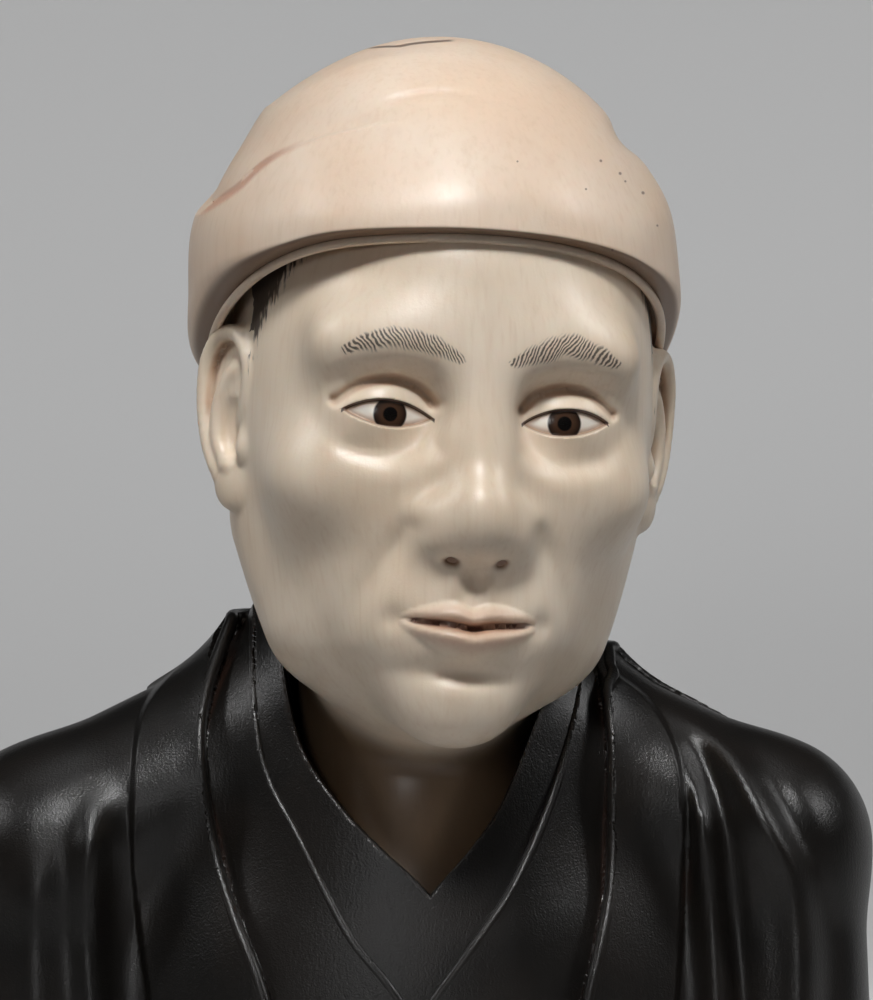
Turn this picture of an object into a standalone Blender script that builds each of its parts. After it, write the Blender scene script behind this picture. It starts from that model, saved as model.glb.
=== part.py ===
"""Okimono bust of a seated musician: an ivory head in a soft cap, set in a carved dark wood robe.

The front is -Y, up is +Z, and the origin is the middle of the flat underside.
"""

import math

import bmesh
import bpy
import numpy as np
from mathutils import Euler, Matrix, Vector

# Sizes of the head, in metres and degrees. The head's own forms are shares of its height.
HEAD_HEIGHT = 0.0500
HEAD_X = 0.0002
HEAD_Y = -0.0075
CHIN_ABOVE_BASE = 0.0256
HEAD_TURN = 10.0
HEAD_TILT = 3.0

# Sizes of the neck, and of the stem below it that sits in the robe.
NECK_RADIUS = 0.0090
NECK_X = -0.0018
NECK_ROOT_Y = 0.0025
STEM_BOTTOM = 0.0060
SOCKET_CLEARANCE = 0.0003

# Sizes of the robe. Its own forms are shares of its width, its depth and the height of its collar.
ROBE_WIDTH = 0.0722
ROBE_DEPTH = 0.0380
COLLAR_TOP = 0.0378
INNER_COLLAR_THICKNESS = 0.0010
KIMONO_THICKNESS = 0.0009
HAORI_THICKNESS = 0.0010
BAND_THICKNESS = 0.0004
COLLAR_OVERLAP = 0.0006
COLLAR_GAP = 0.0012

# The grain is the spacing of the points that a block-out is gathered into, before it is carved.
HEAD_GRAIN = 0.00060
ROBE_GRAIN = 0.00058
HEAD_FACES = 4800
ROBE_FACES = 4000
PROBE = 0.00004

# A form's shares are written as they measure on a head 50 units high, and on a robe 72.2 units wide, 38 deep
# and 37.8 high to the top of its collar.
HEAD_UNIT = HEAD_HEIGHT / 50
ROBE_UNIT = (ROBE_WIDTH / 72.2, ROBE_DEPTH / 38.0, COLLAR_TOP / 37.8)

HEAD_CENTRE = Vector((HEAD_X, HEAD_Y, CHIN_ABOVE_BASE + HEAD_HEIGHT / 2))
HEAD_ROTATION = Euler((0, math.radians(HEAD_TILT), math.radians(HEAD_TURN))).to_quaternion()
HEAD_PLACE = Matrix.LocRotScale(HEAD_CENTRE, HEAD_ROTATION, Vector((1, 1, 1)) * HEAD_UNIT)
ROBE_PLACE = Matrix.Diagonal((*ROBE_UNIT, 1))
NECK_ROOT = (NECK_X, NECK_ROOT_Y, STEM_BOTTOM)
NECK_TOP = tuple(HEAD_PLACE @ Vector((0, 4.5, -12)))


def ellipsoid(p, centre, radii):
    """Distance, near enough, from each point to an ellipsoid."""
    q = (p - np.array(centre)) / np.array(radii)
    near = np.linalg.norm(q, axis=1)
    slope = np.linalg.norm(q / np.array(radii), axis=1)
    return near * (near - 1) / np.maximum(slope, 1e-9)


def rod(p, start, end, start_radius, end_radius):
    """Distance from each point to a rod with round ends that may taper."""
    a = np.array(start)
    ab = np.array(end) - a
    along = np.clip((p - a) @ ab / (ab @ ab), 0, 1)
    radius = start_radius + along * (end_radius - start_radius)
    return np.linalg.norm(p - a - along[:, None] * ab, axis=1) - radius


def blend(a, b, soft):
    """The union of two forms, with a fillet about as wide as soft."""
    near = np.maximum(soft - np.abs(a - b), 0) / soft
    return np.minimum(a, b) - near * near * soft / 4


def meet(a, b, soft):
    """What two forms share, with an edge rounded by soft."""
    return -blend(-a, -b, soft)


def carve(a, b, soft):
    """The first form with the second one cut out of it."""
    return meet(a, -b, soft)


def step(x, low, high):
    """0 below low, 1 above high, and a smooth rise between them."""
    t = np.clip((x - low) / (high - low), 0, 1)
    return t * t * (3 - 2 * t)


def mound(x, z, centre, radii):
    """A soft round swelling of height 1 seen from the front."""
    return np.exp(-(((x - centre[0]) / radii[0]) ** 2) - ((z - centre[1]) / radii[1]) ** 2)


def smooth_line(points, count=24):
    """Points along a smooth curve through the given ones."""
    p = np.array(points, float)
    p = np.vstack([2 * p[0] - p[1], p, 2 * p[-1] - p[-2]])
    line = []
    for i in range(1, len(p) - 2):
        a, b, c, d = p[i - 1 : i + 3]
        for t in np.linspace(0, 1, count, endpoint=False):
            bend = (2 * a - 5 * b + 4 * c - d) * t + (3 * b - a - 3 * c + d) * t * t
            line.append(b + (c - a + bend) * t / 2)
    line.append(p[-2])
    return np.array(line)


def along_height(z, knots):
    """The x of a smooth line, given as (x, z) knots from the top down, at each height z."""
    line = smooth_line(knots)
    order = np.argsort(line[:, 1])
    return np.interp(z, line[order, 1], line[order, 0])


def along_width(x, knots):
    """The z of a smooth line, given as (x, z) knots from left to right, at each x."""
    line = smooth_line(knots)
    return np.interp(x, line[:, 0], line[:, 1])


def stroke(x, z, points, width):
    """A soft groove or ridge of height 1 along a line seen from the front."""
    line = smooth_line(points, 8)
    best = np.full(len(x), 1e9)
    for a, b in zip(line[:-1], line[1:]):
        ab = b - a
        t = np.clip(((x - a[0]) * ab[0] + (z - a[1]) * ab[1]) / (ab @ ab), 0, 1)
        best = np.minimum(best, (x - a[0] - t * ab[0]) ** 2 + (z - a[1] - t * ab[1]) ** 2)
    return np.exp(-best / width**2)


def tube(p, points, start_radius, end_radius, soft):
    """A tapering rod along a smooth line in space."""
    line = smooth_line(points, 3)
    radii = np.linspace(start_radius, end_radius, len(line))
    form = rod(p, line[0], line[1], radii[0], radii[1])
    for i in range(1, len(line) - 1):
        form = blend(form, rod(p, line[i], line[i + 1], radii[i], radii[i + 1]), soft)
    return form


# The head. Its space has the chin at z -25, the crown at z 25 and the eyes at z 0, with the front at -y.
EYE = (6.8, -13.5, 0.0)
EYE_RADII = (3.9, 3.2, 3.3)
LID = 0.42
EYE_WIDTH = 6.7
UPPER_LID_RISE = 1.05
LOWER_LID_DROP = 0.95


def eye_opening(x, z):
    """Distance from the almond outline between the lids."""
    half = EYE_WIDTH / 2
    upper = (half**2 + UPPER_LID_RISE**2) / (2 * UPPER_LID_RISE)
    lower = (half**2 + LOWER_LID_DROP**2) / (2 * LOWER_LID_DROP)
    x = x - EYE[0]
    z = z - EYE[2] - 0.06 * x
    over = np.hypot(x, z - UPPER_LID_RISE + upper) - upper
    under = np.hypot(x, z + LOWER_LID_DROP - lower) - lower
    return np.maximum(over, under)


def skull(p, m):
    form = ellipsoid(p, (0, 1.6, 4.5), (16.2, 19.6, 20.5))
    form = blend(form, ellipsoid(p, (0, -2.5, 9.0), (13.5, 15.6, 13.0)), 4)
    form = blend(form, ellipsoid(p, (0, -4.2, -4.0), (14.4, 14.4, 16.5)), 5)
    form = blend(form, ellipsoid(p, (0, -3.5, -13.0), (11.2, 12.6, 12.0)), 5)
    form = blend(form, rod(m, (11.2, 0.5, -8.5), (9.2, -3.0, -16.0), 3.6, 3.2), 5)
    form = blend(form, ellipsoid(p, (0, -13.0, -21.0), (4.8, 4.4, 3.9)), 3.5)
    form = blend(form, ellipsoid(m, (9.4, -11.0, -5.0), (4.4, 4.2, 3.2)), 4)
    return blend(form, ellipsoid(m, (5.6, -14.6, 5.2), (6.4, 3.4, 3.0)), 4)


def eyes(form, m):
    form = carve(form, ellipsoid(m, (6.9, -18.9, 0.4), (4.7, 3.6, 3.0)), 3)
    lid = LID * step(eye_opening(m[:, 0], m[:, 2]), -0.16, 0.16)
    return blend(form, ellipsoid(m, EYE, EYE_RADII) - lid, 1.1)


def nose(form, p, m):
    form = blend(form, rod(p, (0, -16.6, 3.2), (0, -19.9, -6.2), 1.3, 1.9), 3.4)
    form = blend(form, ellipsoid(p, (0, -17.4, -8.6), (3.5, 2.6, 1.9)), 2.4)
    form = blend(form, ellipsoid(p, (0, -19.9, -7.6), (2.6, 2.5, 2.3)), 2.6)
    form = blend(form, ellipsoid(m, (2.7, -16.9, -8.4), (2.1, 3.2, 2.1)), 2.4)
    form = blend(form, rod(p, (0, -20.0, -9.2), (0, -17.4, -10.2), 0.95, 1.0), 1.3)
    return carve(form, ellipsoid(m, (1.75, -18.8, -10.5), (0.8, 1.2, 0.8)), 0.9)


def mouth(form, p, m):
    return blend(form, ellipsoid(p, (0, -12.5, -14.9), (7.4, 6.3, 5.4)), 3.4)


LIP_HALF_WIDTH = 5.3


def lips(x, z):
    """Height over the line between the lips, how full they are there, and the place across each lip."""
    line = -15.55 - 0.22 * np.exp(-(x / 1.0) ** 2) + 0.010 * x * x
    taper = np.clip(1 - (x / LIP_HALF_WIDTH) ** 2, 0, 1)
    upper = (z - line) / (1.5 * (0.25 + 0.75 * taper) * (1 - 0.16 * np.exp(-(x / 0.8) ** 2)))
    lower = (line - z) / (1.9 * (0.25 + 0.75 * taper))
    return z - line, taper, upper, lower


def lip_relief(x, z):
    away, taper, upper, lower = lips(x, z)
    across = np.where(away > 0, upper, lower)
    full = step(across, -0.2, 0.5) * (1 - step(across, 0.5, 1.4))
    raised = taper * full * np.where(away > 0, 0.75, 0.95)
    fade = step(-np.abs(x), -LIP_HALF_WIDTH - 0.5, -LIP_HALF_WIDTH + 1.5)
    raised = raised - 0.50 * np.exp(-(away / 0.38) ** 2) * fade
    return raised - 0.35 * mound(x, z, (5.7, -15.3), (0.9, 1.0))


def face_relief(x, z):
    """How far the flesh is raised, seen from the front. x is measured from the middle."""
    raised = lip_relief(x, z) - 0.75 * mound(x, z, (0, -19.2), (3.6, 1.0))
    raised = raised - 0.35 * mound(x, z, (0, -12.3), (0.8, 1.2))
    raised = raised + 0.20 * mound(x, z, (1.4, -12.5), (0.6, 1.3))
    fold = stroke(x, z, ((5.0, -8.6), (6.6, -11.4), (7.7, -14.4), (8.2, -18.0)), 1.0)
    raised = raised - 0.42 * fold * step(z, -18.0, -12.5)
    raised = raised - 0.35 * mound(x, z, (10.6, -12.5), (3.0, 4.0))
    raised = raised - 0.15 * stroke(x, z, ((3.4, -2.4), (6.4, -3.4), (9.6, -2.8)), 0.9)
    crease = ((3.3, 0.9), (4.6, 2.1), (6.6, 2.6), (8.8, 2.2), (10.6, 0.9))
    return raised - 0.36 * stroke(x, z, crease, 0.42)


EAR_SCALE = 0.96


def ear(m):
    """The ear, in a space of its own: the first axis runs back along it, the second up and the third out."""
    lean = math.radians(20)
    back = np.array((math.sin(lean), math.cos(lean), 0.10))
    out = np.array((math.cos(lean), -math.sin(lean), 0.0))
    q = (m - np.array((15.0, -2.5, -0.7))) / EAR_SCALE
    e = np.column_stack((q @ back, q[:, 2] - 0.10 * q[:, 1], q @ out))
    form = ellipsoid(e, (3.6, 0.6, -0.1), (3.7, 6.3, 0.75))
    form = blend(form, ellipsoid(e, (0.8, -0.4, -1.3), (2.2, 4.6, 1.6)), 1.2)
    form = blend(form, ellipsoid(e, (2.5, -5.4, 0.0), (2.2, 2.2, 1.0)), 1.0)
    form = carve(form, ellipsoid(e, (2.7, -1.2, 1.0), (1.9, 2.7, 1.5)), 0.7)
    fold = ((3.4, -3.9, 0.3), (4.8, -2.0, 0.5), (5.0, 0.6, 0.6), (4.2, 2.8, 0.5), (3.0, 4.0, 0.3))
    form = blend(form, tube(e, fold, 0.55, 0.5, 0.3), 0.6)
    rim = ((1.8, -0.6, 0.1), (0.7, 1.6, 0.6), (0.8, 4.4, 0.8), (2.9, 6.5, 0.8), (5.5, 6.2, 0.8),
           (7.0, 4.0, 0.8), (7.0, 0.8, 0.7), (5.9, -2.4, 0.6), (4.4, -4.8, 0.3))
    form = blend(form, tube(e, rim, 0.55, 0.6, 0.4), 0.45)
    form = blend(form, ellipsoid(e, (0.5, -2.2, 0.7), (0.8, 1.2, 0.7)), 0.6)
    return blend(form, ellipsoid(e, (2.7, -3.9, 0.5), (0.8, 0.6, 0.6)), 0.6) * EAR_SCALE


# The cap: two thicknesses of cloth over an ellipsoid, cut off along a hem that dips behind the ears.
CAP_CENTRE = (-0.5, 1.8, 8.0)
CAP_RADII = (19.1, 22.0, 21.9)
SIDE_FOLD = ((-20.0, 14.5), (-17.6, 16.6), (-15.5, 18.9), (-13.0, 20.3), (-9.0, 21.6), (-6.0, 22.0))
CROWN_FOLD = ((-14.0, 23.6), (-11.4, 25.4), (-8.5, 26.9), (-5.0, 27.7), (0.0, 28.2))
FRONT_CREASE = ((-9.4, 23.2), (-6.3, 24.1), (-2.5, 24.7), (1.4, 24.2))
HEM_CREASE = ((-12.0, 14.4), (-6.0, 16.0), (0.3, 16.8), (6.0, 16.5), (12.0, 14.9))


def hem_height(y):
    y = y - 0.8 * np.maximum(y - 6, 0)
    return 6.1 - 0.62 * y - 0.0108 * y * y


def hem_roll(y):
    """How thickly the hem is rolled: tight at the forehead, and fuller towards the ears and the nape."""
    return 1.2 + 4.2 * step(y, -18, -2)


def cap_relief(p):
    """How far the cloth stands out from the plain dome."""
    x, y, z = p.T
    lap = 0.75 * (1 - step(z - along_width(x, SIDE_FOLD), 0.0, 0.3)) * step(-x, 7.0, 14.0) * step(z, 8, 15)
    crown = 0.45 * (1 - step(z - along_width(x, CROWN_FOLD), 0.0, 0.35))
    crown = crown * step(-x, 2.0, 9.0) * step(z, 20, 25)
    crease = -0.25 * step(-y, 2, 8) * stroke(x, z, FRONT_CREASE, 0.4)
    roll = 0.22 * step(-y, 6, 12) * stroke(x, z, HEM_CREASE, 2.2)
    dent = -0.55 * mound(x, z, (13.2, 22.6), (2.0, 1.5)) + 0.35 * mound(x, z, (16.5, 17.5), (3, 3.5))
    return lap + crown + crease + roll + dent


def cap(p):
    dome = ellipsoid(p, CAP_CENTRE, CAP_RADII) - cap_relief(p)
    return meet(dome, hem_height(p[:, 1]) - p[:, 2], hem_roll(p[:, 1]))


def head_form(p):
    """Distance to the head with its ears and cap, in head units."""
    m = np.column_stack((np.abs(p[:, 0]), p[:, 1:]))
    form = eyes(skull(p, m), m)
    form = mouth(nose(form, p, m), p, m)
    form = form - face_relief(m[:, 0], m[:, 2]) * step(-p[:, 1], 4, 12)
    form = blend(form, ear(m), 0.8)
    return blend(form, cap(p), 0.25)


def neck_form(p):
    """Distance to the neck, the throat above the collars and the stem below, in metres."""
    form = rod(p, NECK_ROOT, NECK_TOP, NECK_RADIUS, NECK_RADIUS * 0.93)
    throat = (NECK_X, NECK_ROOT_Y - 0.0045, STEM_BOTTOM + 0.0060)
    form = blend(form, ellipsoid(p, throat, (NECK_RADIUS * 1.05, NECK_RADIUS * 1.17, 0.0140)), 0.003)
    return meet(form, STEM_BOTTOM - p[:, 2], 0.0008)


def ivory_form(p):
    """Distance to the whole ivory carving, in metres."""
    place = np.array(HEAD_PLACE.inverted())
    local = p @ place[:3, :3].T + place[:3, 3]
    return blend(head_form(local) * HEAD_UNIT, neck_form(p), 0.003)


# The robe. Its space has the collar's top at z 37.8, the shoulders between x -38 and 34, and the front at -y.
# Each edge is given from the top down as (x, z), seen from the front.
NECKLINE = {
    "left": ((-12.1, 36.0), (-11.9, 31.5), (-10.4, 25.4), (-7.2, 20.7), (-4.0, 17.4),
             (-0.4, 14.0), (8.0, 5.0)),
    "right": ((10.2, 36.0), (9.2, 31.5), (7.5, 27.0), (5.1, 21.2), (2.7, 17.7), (-0.4, 14.2), (-3.3, 10.5),
              (-9.0, 3.0)),
}
KIMONO_EDGE = {
    "left": ((-13.9, 36.0), (-13.7, 28.2), (-12.7, 23.2), (-10.1, 18.3), (-6.4, 11.2),
             (-2.9, 6.8), (3.0, -2.0)),
    "right": ((11.2, 36.0), (10.6, 29.0), (8.6, 22.0), (5.8, 15.4), (3.2, 11.4), (-0.7, 6.1), (-6.5, -2.0)),
}
HAORI_EDGE = {
    "left": ((-15.2, 36.0), (-17.3, 29.9), (-17.8, 25.0), (-16.7, 17.5), (-15.0, 12.2),
             (-12.9, 6.8), (-10.5, -2.0)),
    "right": ((11.6, 36.0), (12.8, 29.0), (13.2, 24.0), (13.0, 15.6), (12.3, 11.2),
              (11.1, 6.1), (9.4, -2.0)),
}
BAND_SEAM = {
    "left": ((-19.0, 33.0), (-22.3, 29.2), (-23.3, 25.7), (-23.5, 18.0), (-23.1, 12.5),
             (-22.0, 5.0), (-21.0, -2.0)),
    "right": ((13.4, 31.4), (16.4, 29.1), (18.3, 25.8), (19.1, 21.6), (19.1, 15.6),
              (18.8, 10.0), (17.9, -2.0)),
}
# Folds of the haori: height, width, the height at which each fades out, and its line.
FOLDS = (
    (0.95, 1.5, 22.0, ((-25.5, 24.0), (-26.5, 19.0), (-26.6, 10.0), (-25.8, -2.0))),
    (0.45, 1.6, 19.0, ((-29.6, 22.0), (-30.6, 17.0), (-31.0, 10.0), (-30.5, -2.0))),
    (0.90, 1.3, 25.0, ((18.8, 26.0), (20.2, 21.6), (21.1, 14.0), (21.6, 6.0), (21.6, -2.0))),
    (-0.70, 1.2, 28.0, ((18.0, 29.0), (20.4, 25.0), (22.4, 18.0), (23.5, 8.0), (24.0, -2.0))),
    (1.00, 1.7, 29.0, ((17.0, 30.0), (23.0, 24.5), (25.7, 19.3), (28.0, 14.5), (28.3, 6.0), (27.6, -2.0))),
    (-0.60, 1.4, 27.0, ((22.5, 26.5), (27.2, 19.8), (30.1, 11.4), (30.4, 5.0), (30.0, -2.0))),
)
# Folds across the back, given the same way.
BACK_FOLDS = (
    (0.50, 2.0, 26.0, ((-15.0, 28.0), (-17.5, 18.0), (-18.5, -2.0))),
    (-0.45, 1.8, 27.0, ((-10.0, 28.0), (-12.5, 16.0), (-13.0, -2.0))),
    (0.50, 2.0, 26.0, ((12.0, 28.0), (14.5, 18.0), (15.5, -2.0))),
    (-0.45, 1.8, 27.0, ((7.5, 28.0), (9.5, 16.0), (10.0, -2.0))),
)


def body_form(q):
    """Distance to the clothed shoulders and chest, in robe units."""
    deep = q * np.array((1, 0.8, 1))
    form = rod(deep, (6, 0.8, 26.3), (25.5, 0, 17.4), 8, 8)
    form = blend(form, rod(deep, (-8, 0.8, 27.4), (-30, 0, 16.6), 8.5, 8.5), 3)
    form = blend(form, rod(deep, (25.5, 0, 17.4), (26.2, -2, -8), 8, 8.2), 3)
    form = blend(form, rod(deep, (-30, 0, 16.6), (-30.4, -2, -8), 8.5, 8.2), 3)
    form = blend(form, ellipsoid(q, (-1.5, 1.5, -4), (30, 17.5, 30)), 5)
    form = blend(form, ellipsoid(q, (-1.5, 7, 14), (21, 13, 18)), 6)
    form = blend(form, ellipsoid(q, (-1.5, -5, 7), (19, 11.5, 19)), 5)
    wall = (INNER_COLLAR_THICKNESS + KIMONO_THICKNESS + HAORI_THICKNESS + COLLAR_GAP + NECK_RADIUS) * 1000
    return blend(form, rod(q, (-1.8, 2.2, 22), (-1.6, 0.4, 38), wall + 4, wall - 0.3), 5)


def collar_rim(q):
    """The height of the collar's rim, which falls towards the front and the figure's left side."""
    return 37.8 + 0.5 * np.minimum(q[:, 1] + 1, 0) - 2.5 * step(q[:, 0], -6, 10)


def haori_relief(q):
    """The folds, in robe units."""
    x, y, z = q.T
    front = step(-y, -3, 3)
    raised = np.zeros(len(q))
    for folds, facing in ((FOLDS, front), (BACK_FOLDS, 1 - front)):
        for height, width, top, line in folds:
            away = (x - along_height(z, line)) / width
            raised = raised + facing * height * np.exp(-away * away) * (1 - step(z, top - 6, top))
    return raised


# Each garment: its edges, how deep it lies under the haori's surface, and how far its rim lies under the inner
# collar's.
GARMENTS = {
    "inner_collar": (NECKLINE, HAORI_THICKNESS + KIMONO_THICKNESS, 0.0),
    "kimono": (KIMONO_EDGE, HAORI_THICKNESS, 0.9),
    "haori": (HAORI_EDGE, 0.0, 1.9),
}


EDGE_SINK = 0.0017
EDGE_SLOPE = 0.0014
WEDGE_APEX = 14.1
WEDGE_DEPTH = 1.5


def covered(q, edges, side, rim):
    """Negative where a garment's left or right half covers the body."""
    x, y, z = q.T
    edge = along_height(z, edges[side])
    turn = 1 if side == "left" else -1
    behind = np.maximum(2 - y, turn * x - 4)
    return meet(blend(turn * (x - edge), behind, 2.5), z - rim, 0.5)


def past_seam(q, side):
    """How far a point lies beyond the seam of the haori's collar band, in robe units."""
    x, y, z = q.T
    seam = along_height(z, BAND_SEAM[side])
    past = (seam - x) if side == "left" else (x - seam)
    behind = step(y, -1, 4)
    return past * (1 - behind) + (collar_rim(q) - 8.4 - z) * behind


def garment(q, body, name, side):
    """Distances to a garment's surface and to what its left or right half covers, in metres."""
    unit = sum(ROBE_UNIT) / 3
    edges, depth, drop = GARMENTS[name]
    surface = body + depth
    if name == "haori":
        past = past_seam(q, side)
        surface = surface - BAND_THICKNESS * (1 - step(past, -0.12, 0.12))
        surface = surface - haori_relief(q) * unit * step(past, -0.2, 1.2)
    elif side == "right":
        crossing = step(q[:, 0] - along_height(q[:, 2], edges["right"]), -1.2, 0.4)
        crossing = crossing * step(-q[:, 1], 0, 5) * (1 - step(q[:, 0], 6, 11)) * COLLAR_OVERLAP
        surface = surface - crossing * (0.7 if name == "inner_collar" else 1)
    return surface, covered(q, edges, side, collar_rim(q) - drop) * unit


def robe_form(p):
    """Distance to the robe, in metres, before its neckline and the room for the neck are cut."""
    q = p / np.array(ROBE_UNIT)
    body = body_form(q) * sum(ROBE_UNIT) / 3
    rim = (q[:, 2] - collar_rim(q)) * ROBE_UNIT[2]
    form = np.full(len(p), 1.0)
    for side in ("left", "right"):
        surface, _ = garment(q, body, "inner_collar", side)
        form = np.minimum(form, meet(surface, rim, 0.0004))
        for name in ("kimono", "haori"):
            surface, cover = garment(q, body, name, side)
            form = blend(form, surface + EDGE_SINK * step(cover, -EDGE_SLOPE / 4, EDGE_SLOPE), 0.0003)
    return meet(form, -0.004 - p[:, 2], 0.0003)


# Making the pieces: simple solids are gathered into one skin, which is then carved to its form.
def add_ball(shape, place, centre, radii):
    size = Matrix.LocRotScale(Vector(centre), None, Vector(radii))
    bmesh.ops.create_icosphere(shape, subdivisions=3, radius=1, matrix=place @ size)


def add_rod(shape, place, start, end, radius):
    start = Vector(start)
    along = Vector(end) - start
    turn = along.to_track_quat("Z", "Y").to_matrix().to_4x4()
    middle = Matrix.Translation(start + along / 2) @ turn
    bmesh.ops.create_cone(shape, cap_ends=True, segments=32, radius1=radius, radius2=radius,
                          depth=along.length,
                          matrix=place @ middle)


def keep_above(shape, point, normal):
    """Cut a shape off flat, and close the cut."""
    everything = shape.verts[:] + shape.edges[:] + shape.faces[:]
    cut = bmesh.ops.bisect_plane(shape, geom=everything, plane_co=point, plane_no=normal, clear_inner=True)
    rim = [edge for edge in cut["geom_cut"] if isinstance(edge, bmesh.types.BMEdge)]
    bmesh.ops.holes_fill(shape, edges=rim)


def new_object(name, shape):
    mesh = bpy.data.meshes.new(name)
    shape.to_mesh(mesh)
    shape.free()
    made = bpy.data.objects.new(name, mesh)
    bpy.context.scene.collection.objects.link(made)
    return made


def keep_modified(thing):
    """Replace an object's mesh by what its modifiers make of it."""
    bpy.context.view_layer.update()
    graph = bpy.context.evaluated_depsgraph_get()
    mesh = bpy.data.meshes.new_from_object(thing.evaluated_get(graph))
    thing.modifiers.clear()
    thing.data = mesh


def gather(thing, grain):
    remesh = thing.modifiers.new("gather", "REMESH")
    remesh.mode = "VOXEL"
    remesh.voxel_size = grain
    keep_modified(thing)


def settle(thing, form, steps, reach):
    """Carve: move each vertex, by a few short steps, onto the surface where the form's distance is zero."""
    mesh = thing.data
    p = np.empty(len(mesh.vertices) * 3)
    mesh.vertices.foreach_get("co", p)
    p = p.reshape(-1, 3)
    for _ in range(steps):
        slope = np.column_stack([form(p + e) - form(p - e) for e in np.eye(3) * PROBE]) / (2 * PROBE)
        pull = slope * (form(p) / np.maximum((slope**2).sum(axis=1), 0.3))[:, None]
        length = np.linalg.norm(pull, axis=1)
        p = p - pull * np.minimum(1, reach / np.maximum(length, 1e-12))[:, None]
    mesh.vertices.foreach_set("co", p.ravel())
    mesh.update()


def relax(thing):
    """Even out the spacing of the vertices."""
    shape = bmesh.new()
    shape.from_mesh(thing.data)
    for _ in range(2):
        bmesh.ops.smooth_vert(shape, verts=shape.verts, factor=0.5,
                              use_axis_x=True, use_axis_y=True, use_axis_z=True)
    shape.to_mesh(thing.data)
    shape.free()


def carve_piece(thing, form, grain):
    gather(thing, grain)
    settle(thing, form, 5, grain * 2)
    gather(thing, grain)
    settle(thing, form, 3, grain)
    relax(thing)
    settle(thing, form, 3, grain)


def thin_out(thing, faces):
    thin = thing.modifiers.new("thin", "DECIMATE")
    thin.ratio = faces / (len(thing.data.polygons) * 2)
    keep_modified(thing)


def cut_flat(thing, height):
    shape = bmesh.new()
    shape.from_mesh(thing.data)
    keep_above(shape, Vector((0, 0, height)), Vector((0, 0, 1)))
    shape.to_mesh(thing.data)
    shape.free()


def block_out_head():
    shape = bmesh.new()
    add_ball(shape, Matrix(), CAP_CENTRE, CAP_RADII)
    keep_above(shape, Vector((0, 0, 5.0)), Vector((0, 0.46, 1)).normalized())
    bmesh.ops.transform(shape, matrix=HEAD_PLACE, verts=shape.verts)
    add_ball(shape, HEAD_PLACE, (0, 1.6, 4.5), (16.2, 19.6, 20.5))
    add_ball(shape, HEAD_PLACE, (0, -4.0, -5.0), (14.6, 14.6, 17.0))
    add_ball(shape, HEAD_PLACE, (0, -6.0, -14.0), (11.0, 11.5, 11.0))
    add_ball(shape, HEAD_PLACE, (0, -13.0, -20.0), (5.5, 4.6, 5.0))
    add_ball(shape, HEAD_PLACE, (0, -12.4, -14.9), (7.6, 6.5, 5.4))
    add_rod(shape, HEAD_PLACE, (0, -16.0, 4.0), (0, -20.0, -8.5), 2.2)
    for side in (-1, 1):
        add_ball(shape, HEAD_PLACE, (side * 16.2, 1.2, -0.8), (2.0, 3.8, 6.8))
    add_rod(shape, Matrix(), NECK_ROOT, NECK_TOP, NECK_RADIUS)
    return new_object("head", shape)


def block_out_robe():
    shape = bmesh.new()
    add_ball(shape, ROBE_PLACE, (-1.5, 1.5, -4), (30, 17.5, 30))
    add_ball(shape, ROBE_PLACE, (-1.5, 7, 14), (21, 13, 18))
    add_ball(shape, ROBE_PLACE, (-1.5, -5, 7), (19, 11.5, 19))
    add_rod(shape, ROBE_PLACE, (-1.8, 2.2, 10), (-1.6, 0.4, 36), 13.0)
    for shoulder, elbow in (((6, 1, 26.3), (25.5, 0, 17.4)), ((-8, 1, 27.4), (-30, 0, 16.6))):
        add_rod(shape, ROBE_PLACE, shoulder, elbow, 8.3)
        add_ball(shape, ROBE_PLACE, elbow, (8.3, 10.3, 8.3))
        add_rod(shape, ROBE_PLACE, elbow, (elbow[0], -2, -8), 8.3)
    robe = new_object("robe", shape)
    gather(robe, ROBE_GRAIN)
    cut_flat(robe, -0.004)
    return robe


def neckline_wedge():
    """A cutter: the wedge of chest that the collars leave bare, from the front back to the neck."""
    shape = bmesh.new()
    height = np.arange(42.0, WEDGE_APEX, -1.0)
    left = [(along_height(z, NECKLINE["left"]), z) for z in height]
    right = [(along_height(z, NECKLINE["right"]), z) for z in height]
    outline = left + [(-0.4, WEDGE_APEX)] + right[::-1]
    face = shape.faces.new([shape.verts.new(ROBE_PLACE @ Vector((x, -30, z))) for x, z in outline])
    made = bmesh.ops.extrude_face_region(shape, geom=[face])
    moved = [item for item in made["geom"] if isinstance(item, bmesh.types.BMVert)]
    bmesh.ops.translate(shape, vec=Vector((0, (30 + WEDGE_DEPTH) * ROBE_UNIT[1], 0)), verts=moved)
    bmesh.ops.recalc_face_normals(shape, faces=shape.faces)
    return new_object("neckline_wedge", shape)


def room_for_neck():
    """A cutter: the space between the collars and the neck, which widens upwards."""
    shape = bmesh.new()
    start = Vector(NECK_ROOT).lerp(Vector(NECK_TOP), 0.42)
    along = Vector(NECK_TOP) - start
    turn = along.to_track_quat("Z", "Y").to_matrix().to_4x4()
    place = Matrix.Translation(start + along / 2) @ turn
    bmesh.ops.create_cone(shape, cap_ends=True, segments=64, radius1=NECK_RADIUS + COLLAR_GAP * 0.8,
                          radius2=NECK_RADIUS + COLLAR_GAP * 1.4, depth=along.length, matrix=place)
    return new_object("room_for_neck", shape)


def socket_for_stem(head):
    """A cutter: the ivory carving grown by the clearance."""
    grown = bpy.data.objects.new("socket_for_stem", head.data.copy())
    bpy.context.scene.collection.objects.link(grown)
    swell = grown.modifiers.new("swell", "DISPLACE")
    swell.strength = SOCKET_CLEARANCE
    swell.mid_level = 0
    return grown


def cut_away(thing, cutter):
    cutter.hide_render = True
    cutter.display_type = "WIRE"
    boolean = thing.modifiers.new(cutter.name, "BOOLEAN")
    boolean.operation = "DIFFERENCE"
    boolean.solver = "EXACT"
    boolean.object = cutter


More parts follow.
